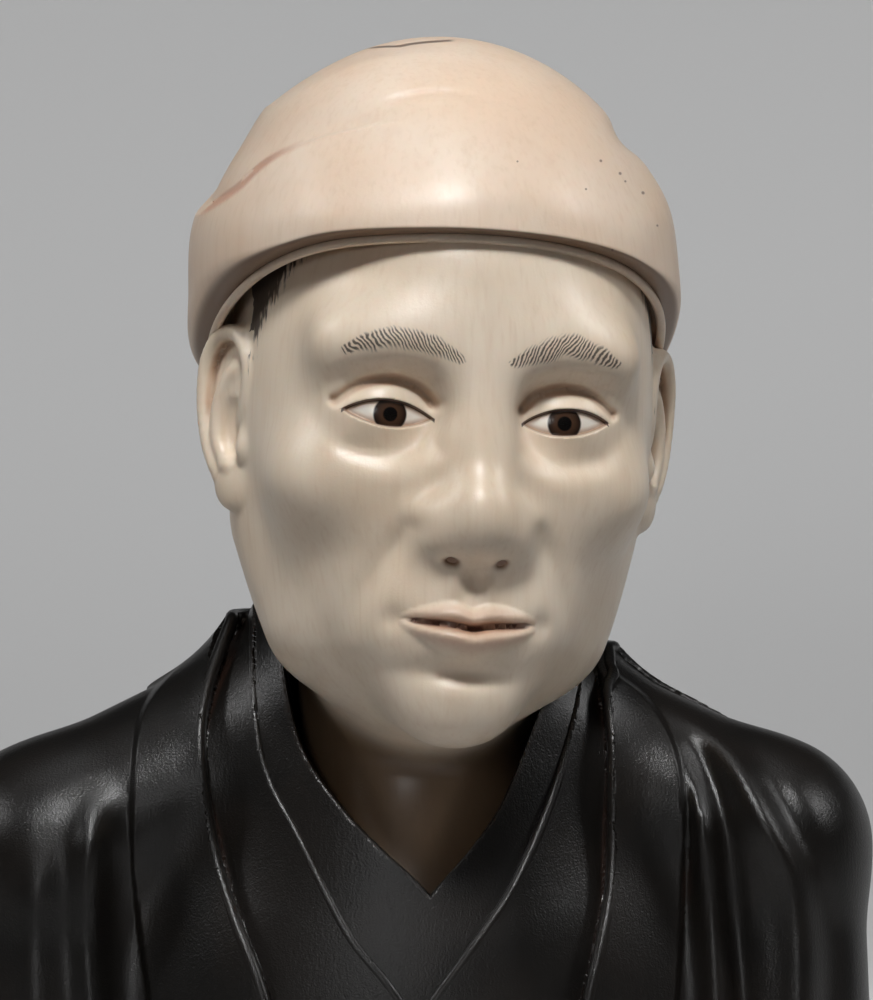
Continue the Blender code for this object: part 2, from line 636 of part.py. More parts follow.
def material(name, colour, roughness):
    made = bpy.data.materials.new(name)
    made.use_nodes = True
    shader = made.node_tree.nodes["Principled BSDF"]
    shader.inputs["Base Color"].default_value = (*colour, 1)
    shader.inputs["Roughness"].default_value = roughness
    shader.inputs["Metallic"].default_value = 0.0
    return made


def build():
    for thing in list(bpy.data.objects):
        bpy.data.objects.remove(thing, do_unlink=True)
    head = block_out_head()
    carve_piece(head, ivory_form, HEAD_GRAIN)
    thin_out(head, HEAD_FACES)
    head.data.materials.append(material("ivory", (0.79, 0.71, 0.61), 0.42))
    robe = block_out_robe()
    carve_piece(robe, robe_form, ROBE_GRAIN)
    thin_out(robe, ROBE_FACES)
    cut_flat(robe, 0)
    robe.data.materials.append(material("dark_wood", (0.014, 0.011, 0.009), 0.38))
    cut_away(robe, neckline_wedge())
    cut_away(robe, room_for_neck())
    cut_away(robe, socket_for_stem(head))
    for piece in (head, robe):
        piece.data.shade_smooth()
        piece.data.set_sharp_from_angle(angle=math.radians(50))


build()
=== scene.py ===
"""Okimono bust of a musician, finished for the camera: an ivory head in a soft cap, set in a dark robe."""

import math
from functools import lru_cache

import bmesh
import bpy
import numpy as np
from mathutils import Euler, Matrix, Vector


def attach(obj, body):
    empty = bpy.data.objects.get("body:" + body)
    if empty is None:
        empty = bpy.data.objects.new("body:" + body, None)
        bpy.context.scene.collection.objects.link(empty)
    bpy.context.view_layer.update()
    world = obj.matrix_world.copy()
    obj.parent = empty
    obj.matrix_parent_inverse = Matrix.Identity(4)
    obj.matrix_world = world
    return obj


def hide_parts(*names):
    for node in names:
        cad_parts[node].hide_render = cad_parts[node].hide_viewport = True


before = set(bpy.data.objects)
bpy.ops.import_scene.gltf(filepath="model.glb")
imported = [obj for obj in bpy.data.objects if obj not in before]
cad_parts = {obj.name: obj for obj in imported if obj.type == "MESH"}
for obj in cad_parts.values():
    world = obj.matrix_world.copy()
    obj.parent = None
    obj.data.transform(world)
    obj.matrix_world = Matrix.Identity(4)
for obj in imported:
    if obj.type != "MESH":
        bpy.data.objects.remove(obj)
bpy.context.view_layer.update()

# Sizes in metres and degrees, as the solids have them.
HEAD_HEIGHT = 0.0500
HEAD_X = 0.0002
HEAD_Y = -0.0075
CHIN_ABOVE_BASE = 0.0256
HEAD_TURN = 10.0
HEAD_TILT = 3.0
CAP_CLOTH = 0.0014
NECK_RADIUS = 0.0090
NECK_X = -0.0018
NECK_ROOT_Y = 0.0025
STEM_BOTTOM = 0.0060
ROBE_WIDTH = 0.0722
ROBE_DEPTH = 0.0380
COLLAR_TOP = 0.0378
INNER_COLLAR_THICKNESS = 0.0010
KIMONO_THICKNESS = 0.0009
HAORI_THICKNESS = 0.0010
BAND_THICKNESS = 0.0004
COLLAR_OVERLAP = 0.0006
COLLAR_GAP = 0.0012

# The spacing of the vertices, first roughly and then finely.
ROUGH_GRAIN = 0.00070
HEAD_GRAIN = 0.00042
CAP_GRAIN = 0.00037
ROBE_GRAIN = 0.00041
PROBE = 0.00003
# Stands for far away among the distances that the materials read.
FAR = 9

# The head's forms are written on a head 50 units high, and the robe's on a robe 72.2 wide, 38 deep and
# 37.8 high.
HEAD_UNIT = HEAD_HEIGHT / 50
ROBE_UNIT = (ROBE_WIDTH / 72.2, ROBE_DEPTH / 38.0, COLLAR_TOP / 37.8)
ROBE_MEAN_UNIT = sum(ROBE_UNIT) / 3
HEAD_CENTRE = Vector((HEAD_X, HEAD_Y, CHIN_ABOVE_BASE + HEAD_HEIGHT / 2))
HEAD_ANGLES = Euler((0, math.radians(HEAD_TILT), math.radians(HEAD_TURN)))
HEAD_PLACE = Matrix.LocRotScale(HEAD_CENTRE, HEAD_ANGLES, Vector((1, 1, 1)) * HEAD_UNIT)
ROBE_PLACE = Matrix.Diagonal((*ROBE_UNIT, 1))
NECK_ROOT = (NECK_X, NECK_ROOT_Y, STEM_BOTTOM)
NECK_TOP = tuple(HEAD_PLACE @ Vector((0, 4.5, -12)))
NECK_TAPER = 1.07
NECK_FILLET = 0.003


# Forms. Each gives the distance of points to a surface, negative inside it.
def ellipsoid(p, centre, radii):
    q = (p - np.array(centre)) / np.array(radii)
    near = np.linalg.norm(q, axis=1)
    slope = np.linalg.norm(q / np.array(radii), axis=1)
    return near * (near - 1) / np.maximum(slope, 1e-9)


def rod(p, start, end, start_radius, end_radius):
    """A round bar between two points, whose taper runs smoothly into its round ends."""
    a, b = np.array(start), np.array(end)
    length = np.linalg.norm(b - a)
    axis = (b - a) / length
    sine = (start_radius - end_radius) / length
    reach = (p - a) @ axis
    beside = np.linalg.norm(p - a - reach[:, None] * axis, axis=1)
    along = np.clip((reach - beside * sine / math.sqrt(1 - sine * sine)) / length, 0, 1)
    radius = start_radius + along * (end_radius - start_radius)
    return np.linalg.norm(p - a - (along * length)[:, None] * axis, axis=1) - radius


def blend(a, b, soft):
    """The union of two forms, with a fillet about as wide as soft."""
    near = np.maximum(soft - np.abs(a - b), 0) / soft
    return np.minimum(a, b) - near * near * soft / 4


def meet(a, b, soft):
    """What two forms share, with an edge rounded by soft."""
    return -blend(-a, -b, soft)


def carve(a, b, soft):
    """The first form with the second one cut out of it."""
    return meet(a, -b, soft)


def step(x, low, high):
    """0 below low, 1 above high, and a smooth rise between them."""
    t = np.clip((x - low) / (high - low), 0, 1)
    return t * t * (3 - 2 * t)


def mound(x, z, centre, radii):
    """A soft round swelling of height 1 seen from the front."""
    return np.exp(-(((x - centre[0]) / radii[0]) ** 2) - ((z - centre[1]) / radii[1]) ** 2)


@lru_cache(maxsize=None)
def smooth_line(points, count=24):
    """Points along a smooth curve through the given ones."""
    p = np.array(points, float)
    p = np.vstack([2 * p[0] - p[1], p, 2 * p[-1] - p[-2]])
    line = []
    for i in range(1, len(p) - 2):
        a, b, c, d = p[i - 1 : i + 3]
        for t in np.linspace(0, 1, count, endpoint=False):
            bend = (2 * a - 5 * b + 4 * c - d) * t + (3 * b - a - 3 * c + d) * t * t
            line.append(b + (c - a + bend) * t / 2)
    line.append(p[-2])
    return np.array(line)


def along_height(z, knots):
    """The x of a smooth line, given as (x, z) knots from the top down, at each height z."""
    line = smooth_line(knots)
    order = np.argsort(line[:, 1])
    return np.interp(z, line[order, 1], line[order, 0])


def along_width(x, knots):
    """The z of a smooth line, given as (x, z) knots from left to right, at each x."""
    line = smooth_line(knots)
    return np.interp(x, line[:, 0], line[:, 1])


def stroke(x, z, points, width):
    """A soft groove or ridge of height 1 along a line seen from the front."""
    line = smooth_line(points, 6)
    best = np.full(len(x), 1e9)
    for a, b in zip(line[:-1], line[1:]):
        ab = b - a
        t = np.clip(((x - a[0]) * ab[0] + (z - a[1]) * ab[1]) / (ab @ ab), 0, 1)
        best = np.minimum(best, (x - a[0] - t * ab[0]) ** 2 + (z - a[1] - t * ab[1]) ** 2)
    return np.exp(-best / width**2)


def tube(p, points, start_radius, end_radius, soft):
    """A tapering rod along a smooth line in space."""
    line = smooth_line(points, 4)
    radii = np.linspace(start_radius, end_radius, len(line))
    form = rod(p, line[0], line[1], radii[0], radii[1])
    for i in range(1, len(line) - 1):
        form = blend(form, rod(p, line[i], line[i + 1], radii[i], radii[i + 1]), soft)
    return form


def only_near(form_there, near, elsewhere):
    """A form worked out where near is true, and taken from elsewhere for the other points."""
    form = elsewhere.copy()
    form[near] = form_there
    return form


# The head. Its space has the chin at z -25, the crown at z 25 and the eyes at z 0, with the front at -y.
EYE = (6.8, -13.5, 0.0)
EYE_RADII = (3.9, 3.2, 3.3)
LID = 0.42
EYE_WIDTH = 6.7
UPPER_LID_RISE = 1.05
LOWER_LID_DROP = 0.95
LID_SLANT = 0.06


def past_lid(x, z, rise):
    """Distance beyond the arc of a lid's edge, which rises so far over the eye's middle."""
    radius = ((EYE_WIDTH / 2) ** 2 + rise**2) / (2 * rise)
    x = x - EYE[0]
    z = z - EYE[2] - LID_SLANT * x
    return np.hypot(x, z - rise + radius) - abs(radius)


def eye_opening(x, z):
    """Distance from the almond outline between the lids."""
    return np.maximum(past_lid(x, z, UPPER_LID_RISE), past_lid(x, z, -LOWER_LID_DROP))


def skull(p, m):
    form = ellipsoid(p, (0, 1.6, 4.5), (16.2, 19.6, 20.5))
    form = blend(form, ellipsoid(p, (0, -2.5, 9.0), (13.5, 15.6, 13.0)), 4)
    form = blend(form, ellipsoid(p, (0, -4.2, -4.0), (14.4, 14.4, 16.5)), 5)
    form = blend(form, ellipsoid(p, (0, -3.5, -13.0), (11.2, 12.6, 12.0)), 5)
    form = blend(form, rod(m, (11.2, 0.5, -8.5), (9.2, -3.0, -16.0), 3.6, 3.2), 5)
    form = blend(form, ellipsoid(p, (0, -13.0, -21.0), (4.8, 4.4, 3.9)), 3.5)
    form = blend(form, ellipsoid(m, (9.4, -11.0, -5.0), (4.4, 4.2, 3.2)), 4)
    return blend(form, ellipsoid(m, (5.6, -14.6, 5.2), (6.4, 3.4, 3.0)), 4)


def eyes(form, m):
    form = carve(form, ellipsoid(m, (6.9, -18.9, 0.4), (4.7, 3.6, 3.0)), 3)
    lid = LID * step(eye_opening(m[:, 0], m[:, 2]), -0.16, 0.16)
    return blend(form, ellipsoid(m, EYE, EYE_RADII) - lid, 1.1)


def nose(form, p, m):
    form = blend(form, rod(p, (0, -16.6, 3.2), (0, -19.9, -6.2), 1.3, 1.9), 3.4)
    form = blend(form, ellipsoid(p, (0, -17.4, -8.6), (3.5, 2.6, 1.9)), 2.4)
    form = blend(form, ellipsoid(p, (0, -19.9, -7.6), (2.6, 2.5, 2.3)), 2.6)
    form = blend(form, ellipsoid(m, (2.7, -16.9, -8.4), (2.1, 3.2, 2.1)), 2.4)
    form = blend(form, rod(p, (0, -20.0, -9.2), (0, -17.4, -10.2), 0.95, 1.0), 1.3)
    return carve(form, ellipsoid(m, (1.7, -18.3, -10.6), (0.8, 1.3, 0.6)), 0.9)


def mouth(form, p, m):
    return blend(form, ellipsoid(p, (0, -12.5, -14.9), (7.4, 6.3, 5.4)), 3.4)


LIP_HALF_WIDTH = 5.3


def lips(x, z):
    """Height over the line between the lips, how full they are there, and the place across each lip."""
    line = -15.55 - 0.22 * np.exp(-(x / 1.0) ** 2) + 0.010 * x * x
    taper = np.clip(1 - (x / LIP_HALF_WIDTH) ** 2, 0, 1)
    upper = (z - line) / (1.5 * (0.25 + 0.75 * taper) * (1 - 0.16 * np.exp(-(x / 0.8) ** 2)))
    lower = (line - z) / (1.9 * (0.25 + 0.75 * taper))
    return z - line, taper, upper, lower


def lip_relief(x, z):
    away, taper, upper, lower = lips(x, z)
    across = np.where(away > 0, upper, lower)
    full = step(across, -0.2, 0.5) * (1 - step(across, 0.5, 1.4))
    raised = taper * full * np.where(away > 0, 0.75, 0.95)
    fade = step(-np.abs(x), -LIP_HALF_WIDTH - 0.5, -LIP_HALF_WIDTH + 1.5)
    raised = raised - 0.36 * np.exp(-(away / 0.48) ** 2) * fade
    return raised - 0.35 * mound(x, z, (5.7, -15.3), (0.9, 1.0))


def face_relief(x, z):
    """How far the flesh is raised, seen from the front. x is measured from the middle."""
    raised = lip_relief(x, z) - 0.75 * mound(x, z, (0, -19.2), (3.6, 1.0))
    raised = raised - 0.35 * mound(x, z, (0, -12.3), (0.8, 1.2))
    raised = raised + 0.20 * mound(x, z, (1.4, -12.5), (0.6, 1.3))
    fold = stroke(x, z, ((5.0, -8.6), (6.6, -11.4), (7.7, -14.4), (8.2, -18.0)), 1.0)
    raised = raised - 0.42 * fold * step(z, -18.0, -12.5)
    raised = raised - 0.35 * mound(x, z, (10.6, -12.5), (3.0, 4.0))
    raised = raised - 0.15 * stroke(x, z, ((3.4, -2.4), (6.4, -3.4), (9.6, -2.8)), 0.9)
    crease = ((3.3, 0.9), (4.6, 2.1), (6.6, 2.6), (8.8, 2.2), (10.6, 0.9))
    return raised - 0.36 * stroke(x, z, crease, 0.42)


EAR_SCALE = 0.96
EAR_PLACE = (14.8, -4.3, -0.7)
EAR_LEAN = 25


def ear(m):
    """The ear, in a space of its own: the first axis runs back along it, the second up and the third out."""
    lean = math.radians(EAR_LEAN)
    back = np.array((math.sin(lean), math.cos(lean), 0.10))
    out = np.array((math.cos(lean), -math.sin(lean), 0.0))
    q = (m - np.array(EAR_PLACE)) / EAR_SCALE
    e = np.column_stack((q @ back, q[:, 2] - 0.10 * q[:, 1], q @ out))
    form = ellipsoid(e, (3.6, 0.6, -0.1), (3.7, 6.3, 0.75))
    form = blend(form, ellipsoid(e, (0.8, -0.4, -1.3), (2.2, 4.6, 1.6)), 1.2)
    form = blend(form, ellipsoid(e, (2.5, -5.4, 0.0), (2.2, 2.2, 1.0)), 1.0)
    form = carve(form, ellipsoid(e, (2.7, -1.2, 1.0), (1.9, 2.7, 1.5)), 0.7)
    fold = ((3.4, -3.9, 0.3), (4.8, -2.0, 0.5), (5.0, 0.6, 0.6), (4.2, 2.8, 0.5), (3.0, 4.0, 0.3))
    form = blend(form, tube(e, fold, 0.55, 0.5, 0.3), 0.6)
    rim = ((1.8, -0.6, 0.1), (0.7, 1.6, 0.6), (0.8, 4.4, 0.8), (2.9, 6.5, 0.8), (5.5, 6.2, 0.8),
           (7.0, 4.0, 0.8), (7.0, 0.8, 0.7), (5.9, -2.4, 0.6), (4.4, -4.8, 0.3))
    form = blend(form, tube(e, rim, 0.55, 0.6, 0.4), 0.45)
    form = blend(form, ellipsoid(e, (0.5, -2.2, 0.7), (0.8, 1.2, 0.7)), 0.6)
    return blend(form, ellipsoid(e, (2.7, -3.9, 0.5), (0.8, 0.6, 0.6)), 0.6) * EAR_SCALE


def head_form(p):
    """Distance to the head with its ears, in head units."""
    m = np.column_stack((np.abs(p[:, 0]), p[:, 1:]))
    form = skull(p, m)
    front = (p[:, 1] < -6) & (np.abs(p[:, 2] + 6) < 18)
    a, b = p[front], m[front]
    face = mouth(nose(eyes(form[front], b), a, b), a, b)
    face = face - face_relief(b[:, 0], b[:, 2]) * step(-a[:, 1], 6, 12)
    form = only_near(face, front, form)
    side = (m[:, 0] > 11) & (p[:, 1] > -9) & (p[:, 1] < 12) & (np.abs(p[:, 2] + 1) < 12)
    return only_near(blend(form[side], ear(m[side]), 0.8), side, form)


def neck_form(p):
    """Distance to the neck, the throat above the collars and the stem below, in metres."""
    form = rod(p, NECK_ROOT, NECK_TOP, NECK_RADIUS, NECK_RADIUS * NECK_TAPER)
    throat = (NECK_X, NECK_ROOT_Y - 0.0045, STEM_BOTTOM + 0.0060)
    form = blend(form, ellipsoid(p, throat, (NECK_RADIUS * 1.05, NECK_RADIUS * 1.17, 0.0140)), NECK_FILLET)
    return meet(form, STEM_BOTTOM - p[:, 2], 0.0008)


def in_head_space(p):
    """Points of the scene, in metres, as points of the head's own space."""
    place = np.array(HEAD_PLACE.inverted())
    return p @ place[:3, :3].T + place[:3, 3]


def head_and_neck_form(p):
    return blend(head_form(in_head_space(p)) * HEAD_UNIT, neck_form(p), NECK_FILLET)


# The cap: two thicknesses of cloth over an ellipsoid, cut off along a hem that dips behind the ears.
CAP_CENTRE = (-0.5, 1.8, 8.0)
CAP_RADII = (19.1, 22.0, 21.9)
# The cap's lower edge before it is carved: its height at the middle and the direction that it faces.
CAP_FOOT = 5.0
CAP_SLANT = Vector((0, 0.46, 1)).normalized()
# How high the hollow reaches over the foot, and how many cloths thick the cap and its lining are.
CAP_HOLLOW = 5.0
CAP_LAYERS = 1.75
LINING_DEPTH = 1.1
LINING_DROP = 0.28
LINING_EDGE = 0.00036
SIDE_FOLD = ((-20.0, 14.5), (-17.6, 16.6), (-15.5, 18.9), (-13.0, 20.3), (-9.0, 21.6), (-6.0, 22.0))
CROWN_FOLD = ((-14.0, 23.6), (-11.4, 25.4), (-8.5, 26.9), (-5.0, 27.7), (0.0, 28.2))
FRONT_CREASE = ((-9.4, 23.2), (-6.3, 24.1), (-2.5, 24.7), (1.4, 24.2))
HEM_CREASE = ((-12.0, 14.4), (-6.0, 16.0), (0.3, 16.8), (6.0, 16.5), (12.0, 14.9))
CROWN_CRACK = ((-5.2, 28.6), (-4.0, 28.9), (-2.0, 29.2), (0.2, 29.5), (1.5, 29.7))
# Dark specks in the cap's ivory, each with its radius: (x, z, radius) in metres, seen from the front.
SPECKS = ((0.0125, 0.0703, 0.00010), (0.0140, 0.0694, 0.00011), (0.0144, 0.0688, 0.00008),
          (0.0158, 0.0680, 0.00012), (0.0113, 0.0680, 0.00008), (0.0133, 0.0634, 0.00009),
          (0.0061, 0.0700, 0.00007), (0.0169, 0.0655, 0.00008))


def hem_height(y):
    """The height of the hem, in head units. Behind y 6 it levels out towards the nape."""
    y = y - 0.4 * (y - 6 + np.hypot(y - 6, 2.5))
    return 6.1 - 0.62 * y - 0.0108 * y * y


def hem_roll(y):
    """How thickly the hem is rolled: tight at the forehead, and fuller towards the ears and the nape."""
    return 0.35 + 3.2 * step(y, -14, 2)


def cap_relief(p):
    """How far the cloth stands out from the plain dome."""
    x, y, z = p.T
    lap = 0.80 * (1 - step(z - along_width(x, SIDE_FOLD), 0.0, 0.3))
    lap = lap * step(-x, 5.0, 14.0) * step(z, 8, 15)
    crown = 0.55 * (1 - step(z - along_width(x, CROWN_FOLD), 0.0, 0.9))
    crown = crown * step(-x, 1.0, 9.0) * step(z, 20, 25)
    crease = -0.30 * step(-y, 2, 8) * np.exp(-((x + 4.5) / 3.6) ** 2) * stroke(x, z, FRONT_CREASE, 0.4)
    roll = 0.22 * step(-y, 6, 12) * stroke(x, z, HEM_CREASE, 2.2)
    dent = -0.75 * mound(x, z, (13.2, 22.8), (1.7, 1.3)) + 0.45 * mound(x, z, (16.5, 17.5), (3, 3.5))
    return lap + crown + crease + roll + dent


def cap_surfaces(p):
    """Distances to the dome and to the plane of its hem, in head units."""
    return ellipsoid(p, CAP_CENTRE, CAP_RADII) - cap_relief(p), hem_height(p[:, 1]) - p[:, 2]


def cap_form(world):
    """Distance to the cap, in metres."""
    p = in_head_space(world)
    cloth = CAP_CLOTH / HEAD_UNIT
    dome, hem = cap_surfaces(p)
    hollow = np.maximum(dome + CAP_LAYERS * cloth, -hem - CAP_HOLLOW)
    return carve(meet(dome, hem, hem_roll(p[:, 1])), hollow, 0.6) * HEAD_UNIT


# The robe. Its space has the collar's top at z 37.8, the shoulders between x -38 and 34, and the front at -y.
# Each edge is given from the top down as (x, z), seen from the front.
NECKLINE = {
    "left": ((-12.1, 36.0), (-11.9, 31.5), (-10.4, 25.4), (-7.2, 20.7), (-4.0, 17.4), (-0.4, 14.0),
             (8.0, 5.0)),
    "right": ((10.2, 36.0), (9.2, 31.5), (7.5, 27.0), (5.1, 21.2), (2.7, 17.7), (-0.4, 14.2), (-3.3, 10.5),
              (-9.0, 3.0)),
}
KIMONO_EDGE = {
    "left": ((-13.9, 36.0), (-13.7, 28.2), (-12.7, 23.2), (-10.1, 18.3), (-6.4, 11.2), (-2.9, 6.8),
             (3.0, -2.0)),
    "right": ((11.2, 36.0), (10.6, 29.0), (8.6, 22.0), (5.8, 15.4), (3.2, 11.4), (-0.7, 6.1), (-6.5, -2.0)),
}
HAORI_EDGE = {
    "left": ((-15.2, 36.0), (-17.3, 29.9), (-17.8, 25.0), (-16.7, 17.5), (-15.0, 12.2), (-12.9, 6.8),
             (-10.5, -2.0)),
    "right": ((11.6, 36.0), (12.8, 29.0), (13.2, 24.0), (13.0, 15.6), (12.3, 11.2), (11.1, 6.1),
              (9.4, -2.0)),
}
BAND_SEAM = {
    "left": ((-19.0, 33.0), (-22.3, 29.2), (-23.3, 25.7), (-23.5, 18.0), (-23.1, 12.5), (-22.0, 5.0),
             (-21.0, -2.0)),
    "right": ((13.4, 31.4), (16.4, 29.1), (18.3, 25.8), (19.1, 21.6), (19.1, 15.6), (18.8, 10.0),
              (17.9, -2.0)),
}
# How far below the collar's rim the seam runs behind the neck.
BAND_WIDTH_BEHIND = 8.4
# Folds of the haori: height, width, the height at which each fades out, and its line.
FOLDS = (
    (1.05, 1.4, 23.0, ((-25.5, 24.0), (-26.5, 19.0), (-26.6, 10.0), (-25.8, -2.0))),
    (0.45, 1.6, 19.0, ((-29.6, 22.0), (-30.6, 17.0), (-31.0, 10.0), (-30.5, -2.0))),
    (0.90, 1.3, 25.0, ((18.8, 26.0), (20.2, 21.6), (21.1, 14.0), (21.6, 6.0), (21.6, -2.0))),
    (-0.70, 1.2, 28.0, ((18.0, 29.0), (20.4, 25.0), (22.4, 18.0), (23.5, 8.0), (24.0, -2.0))),
    (1.00, 1.7, 29.0, ((17.0, 30.0), (23.0, 24.5), (25.7, 19.3), (28.0, 14.5), (28.3, 6.0), (27.6, -2.0))),
    (-0.60, 1.4, 27.0, ((22.5, 26.5), (27.2, 19.8), (30.1, 11.4), (30.4, 5.0), (30.0, -2.0))),
)
# Folds across the back, given the same way.
BACK_FOLDS = (
    (0.50, 2.0, 26.0, ((-15.0, 28.0), (-17.5, 18.0), (-18.5, -2.0))),
    (-0.45, 1.8, 27.0, ((-10.0, 28.0), (-12.5, 16.0), (-13.0, -2.0))),
    (0.50, 2.0, 26.0, ((12.0, 28.0), (14.5, 18.0), (15.5, -2.0))),
    (-0.45, 1.8, 27.0, ((7.5, 28.0), (9.5, 16.0), (10.0, -2.0))),
)


def body_form(q):
    """Distance to the clothed shoulders and chest, in robe units."""
    deep = q * np.array((1, 0.8, 1))
    form = rod(deep, (6, 0.8, 26.3), (25.5, 0, 17.4), 8, 8)
    form = blend(form, rod(deep, (-8, 0.8, 27.4), (-30, 0, 16.6), 8.5, 8.5), 3)
    form = blend(form, rod(deep, (25.5, 0, 17.4), (26.2, -2, -8), 8, 8.2), 3)
    form = blend(form, rod(deep, (-30, 0, 16.6), (-30.4, -2, -8), 8.5, 8.2), 3)
    form = blend(form, ellipsoid(q, (-1.5, 1.5, -4), (30, 17.5, 30)), 5)
    form = blend(form, ellipsoid(q, (-1.5, 7, 14), (21, 13, 18)), 6)
    form = blend(form, ellipsoid(q, (-1.5, -5, 7), (19, 11.5, 19)), 5)
    wall = (INNER_COLLAR_THICKNESS + KIMONO_THICKNESS + HAORI_THICKNESS + COLLAR_GAP + NECK_RADIUS) * 1000
    return blend(form, rod(q, (-1.8, 2.2, 22), (-1.6, 0.4, 38), wall + 3.6, wall - 0.3), 5)


def collar_rim(q):
    """The height of the collar's rim, which falls towards the front and the figure's left side."""
    return 37.8 + 0.5 * np.minimum(q[:, 1] + 1, 0) - 2.5 * step(q[:, 0], -6, 10)


def haori_relief(q):
    """The folds, in robe units."""
    x, y, z = q.T
    front = step(-y, -3, 3)
    raised = np.zeros(len(q))
    for folds, facing in ((FOLDS, front), (BACK_FOLDS, 1 - front)):
        for height, width, top, line in folds:
            away = (x - along_height(z, line)) / width
            raised = raised + facing * height * np.exp(-away * away) * (1 - step(z, top - 6, top))
    return raised


# Each garment: its edges, how deep it lies under the haori's surface, how far its rim lies below the inner
# collar's rim, and the radius of its folded edge.
GARMENTS = {
    "inner_collar": (NECKLINE, HAORI_THICKNESS + KIMONO_THICKNESS, 0.0, INNER_COLLAR_THICKNESS * 0.42),
    "kimono": (KIMONO_EDGE, HAORI_THICKNESS, 0.9, KIMONO_THICKNESS * 0.5),
    "haori": (HAORI_EDGE, 0.0, 1.9, HAORI_THICKNESS * 0.52),
}
# How far a garment's surface drops past its edge, and over what width.
EDGE_SINK = 0.0017
EDGE_SLOPE = 0.0007
# Where the robe ends below until it is cut off flat at height zero.
ROBE_FOOT = -0.004
# The room for the neck runs from behind the collars' crossing up past their rims.
NECK_ROOM = [Vector(NECK_ROOT).lerp(Vector(NECK_TOP), share) for share in (0.45, 1.3)]
# The bare wedge between the collars: its lowest point, how far back it is cut, and where the cutter starts.
WEDGE_APEX = 14.1
WEDGE_DEPTH = 1.5
WEDGE_FRONT = -30


def covered(q, edges, side, rim):
    """Negative where a garment's left or right half covers the body."""
    x, y, z = q.T
    edge = along_height(z, edges[side])
    turn = 1 if side == "left" else -1
    behind = np.maximum(2 - y, turn * x - 4)
    return meet(blend(turn * (x - edge), behind, 2.5), z - rim, 0.5)


def past_seam(q, side):
    """How far a point lies beyond the seam of the haori's collar band, in robe units."""
    x, y, z = q.T
    seam = along_height(z, BAND_SEAM[side])
    past = (seam - x) if side == "left" else (x - seam)
    behind = step(y, -1, 4)
    return past * (1 - behind) + (collar_rim(q) - BAND_WIDTH_BEHIND - z) * behind


def garment(q, body, name, side):
    """Distances to a garment's surface and to what its left or right half covers, in metres."""
    edges, depth, drop, _ = GARMENTS[name]
    surface = body + depth
    if name == "haori":
        past = past_seam(q, side)
        surface = surface - BAND_THICKNESS * (1 - step(past, -0.3, 0.3))
        surface = surface - haori_relief(q) * ROBE_MEAN_UNIT * step(past, -0.2, 1.2)
    elif side == "right":
        crossing = step(q[:, 0] - along_height(q[:, 2], edges["right"]), -1.2, 0.4)
        crossing = crossing * step(-q[:, 1], 0, 5) * (1 - step(q[:, 0], 6, 11)) * COLLAR_OVERLAP
        surface = surface - crossing * (0.7 if name == "inner_collar" else 1)
    return surface, covered(q, edges, side, collar_rim(q) - drop) * ROBE_MEAN_UNIT


def robe_form(p):
    """Distance to the robe with its neckline closed, in metres. Each garment slopes down along its edge."""
    q = p / np.array(ROBE_UNIT)
    body = body_form(q) * ROBE_MEAN_UNIT
    rim = (q[:, 2] - collar_rim(q)) * ROBE_UNIT[2]
    form = np.full(len(p), 1.0)
    for side in ("left", "right"):
        surface, _ = garment(q, body, "inner_collar", side)
        form = np.minimum(form, meet(surface, rim, 0.0004))
        for name in ("kimono", "haori"):
            surface, cover = garment(q, body, name, side)
            radius = GARMENTS[name][3]
            form = blend(form, surface + EDGE_SINK * step(cover, -radius, EDGE_SLOPE - radius), 0.00015)
    return meet(form, ROBE_FOOT - p[:, 2], 0.0003)


def robe_with_neckline(p):
    """Distance to the robe with its neckline open and the neck's room cut, in metres."""
    q = p / np.array(ROBE_UNIT)
    left = along_height(q[:, 2], NECKLINE["left"]) - q[:, 0]
    right = q[:, 0] - along_height(q[:, 2], NECKLINE["right"])
    opening = np.maximum(np.maximum(left, right), q[:, 1] - WEDGE_DEPTH) * ROBE_UNIT[0]
    room = rod(p, *NECK_ROOM, NECK_RADIUS + COLLAR_GAP, NECK_RADIUS + COLLAR_GAP)
    return carve(carve(robe_form(p), opening, 0.0002), room, 0.0002)


# Sculpting: simple solids are gathered into one skin, which is then carved to its form.
def add_ball(shape, place, centre, radii):
    size = Matrix.LocRotScale(Vector(centre), None, Vector(radii))
    bmesh.ops.create_icosphere(shape, subdivisions=4, radius=1, matrix=place @ size)


def add_rod(shape, place, start, end, radius):
    start = Vector(start)
    along = Vector(end) - start
    turn = along.to_track_quat("Z", "Y").to_matrix().to_4x4()
    middle = Matrix.Translation(start + along / 2) @ turn
    bmesh.ops.create_cone(shape, cap_ends=True, segments=48, radius1=radius, radius2=radius,
                          depth=along.length, matrix=place @ middle)


def cut_flat(shape, point, normal):
    """Cut a shape off flat, keep the part that the normal points to, and close the cut."""
    everything = shape.verts[:] + shape.edges[:] + shape.faces[:]
    cut = bmesh.ops.bisect_plane(shape, geom=everything, plane_co=point, plane_no=normal, clear_inner=True)
    rim = [edge for edge in cut["geom_cut"] if isinstance(edge, bmesh.types.BMEdge)]
    bmesh.ops.holes_fill(shape, edges=rim)


def new_piece(name, shape):
    """An object in the scene from a finished bmesh."""
    mesh = bpy.data.meshes.new(name)
    shape.to_mesh(mesh)
    shape.free()
    made = bpy.data.objects.new(name, mesh)
    bpy.context.scene.collection.objects.link(made)
    return made


def keep_modified(thing):
    """Replace a piece's mesh by what its modifiers make of it."""
    bpy.context.view_layer.update()
    graph = bpy.context.evaluated_depsgraph_get()
    mesh = bpy.data.meshes.new_from_object(thing.evaluated_get(graph))
    thing.modifiers.clear()
    thing.data = mesh


def gather(thing, grain):
    """Join the solids of a piece into one skin of even squares."""
    remesh = thing.modifiers.new("gather", "REMESH")
    remesh.mode = "VOXEL"
    remesh.voxel_size = grain
    keep_modified(thing)


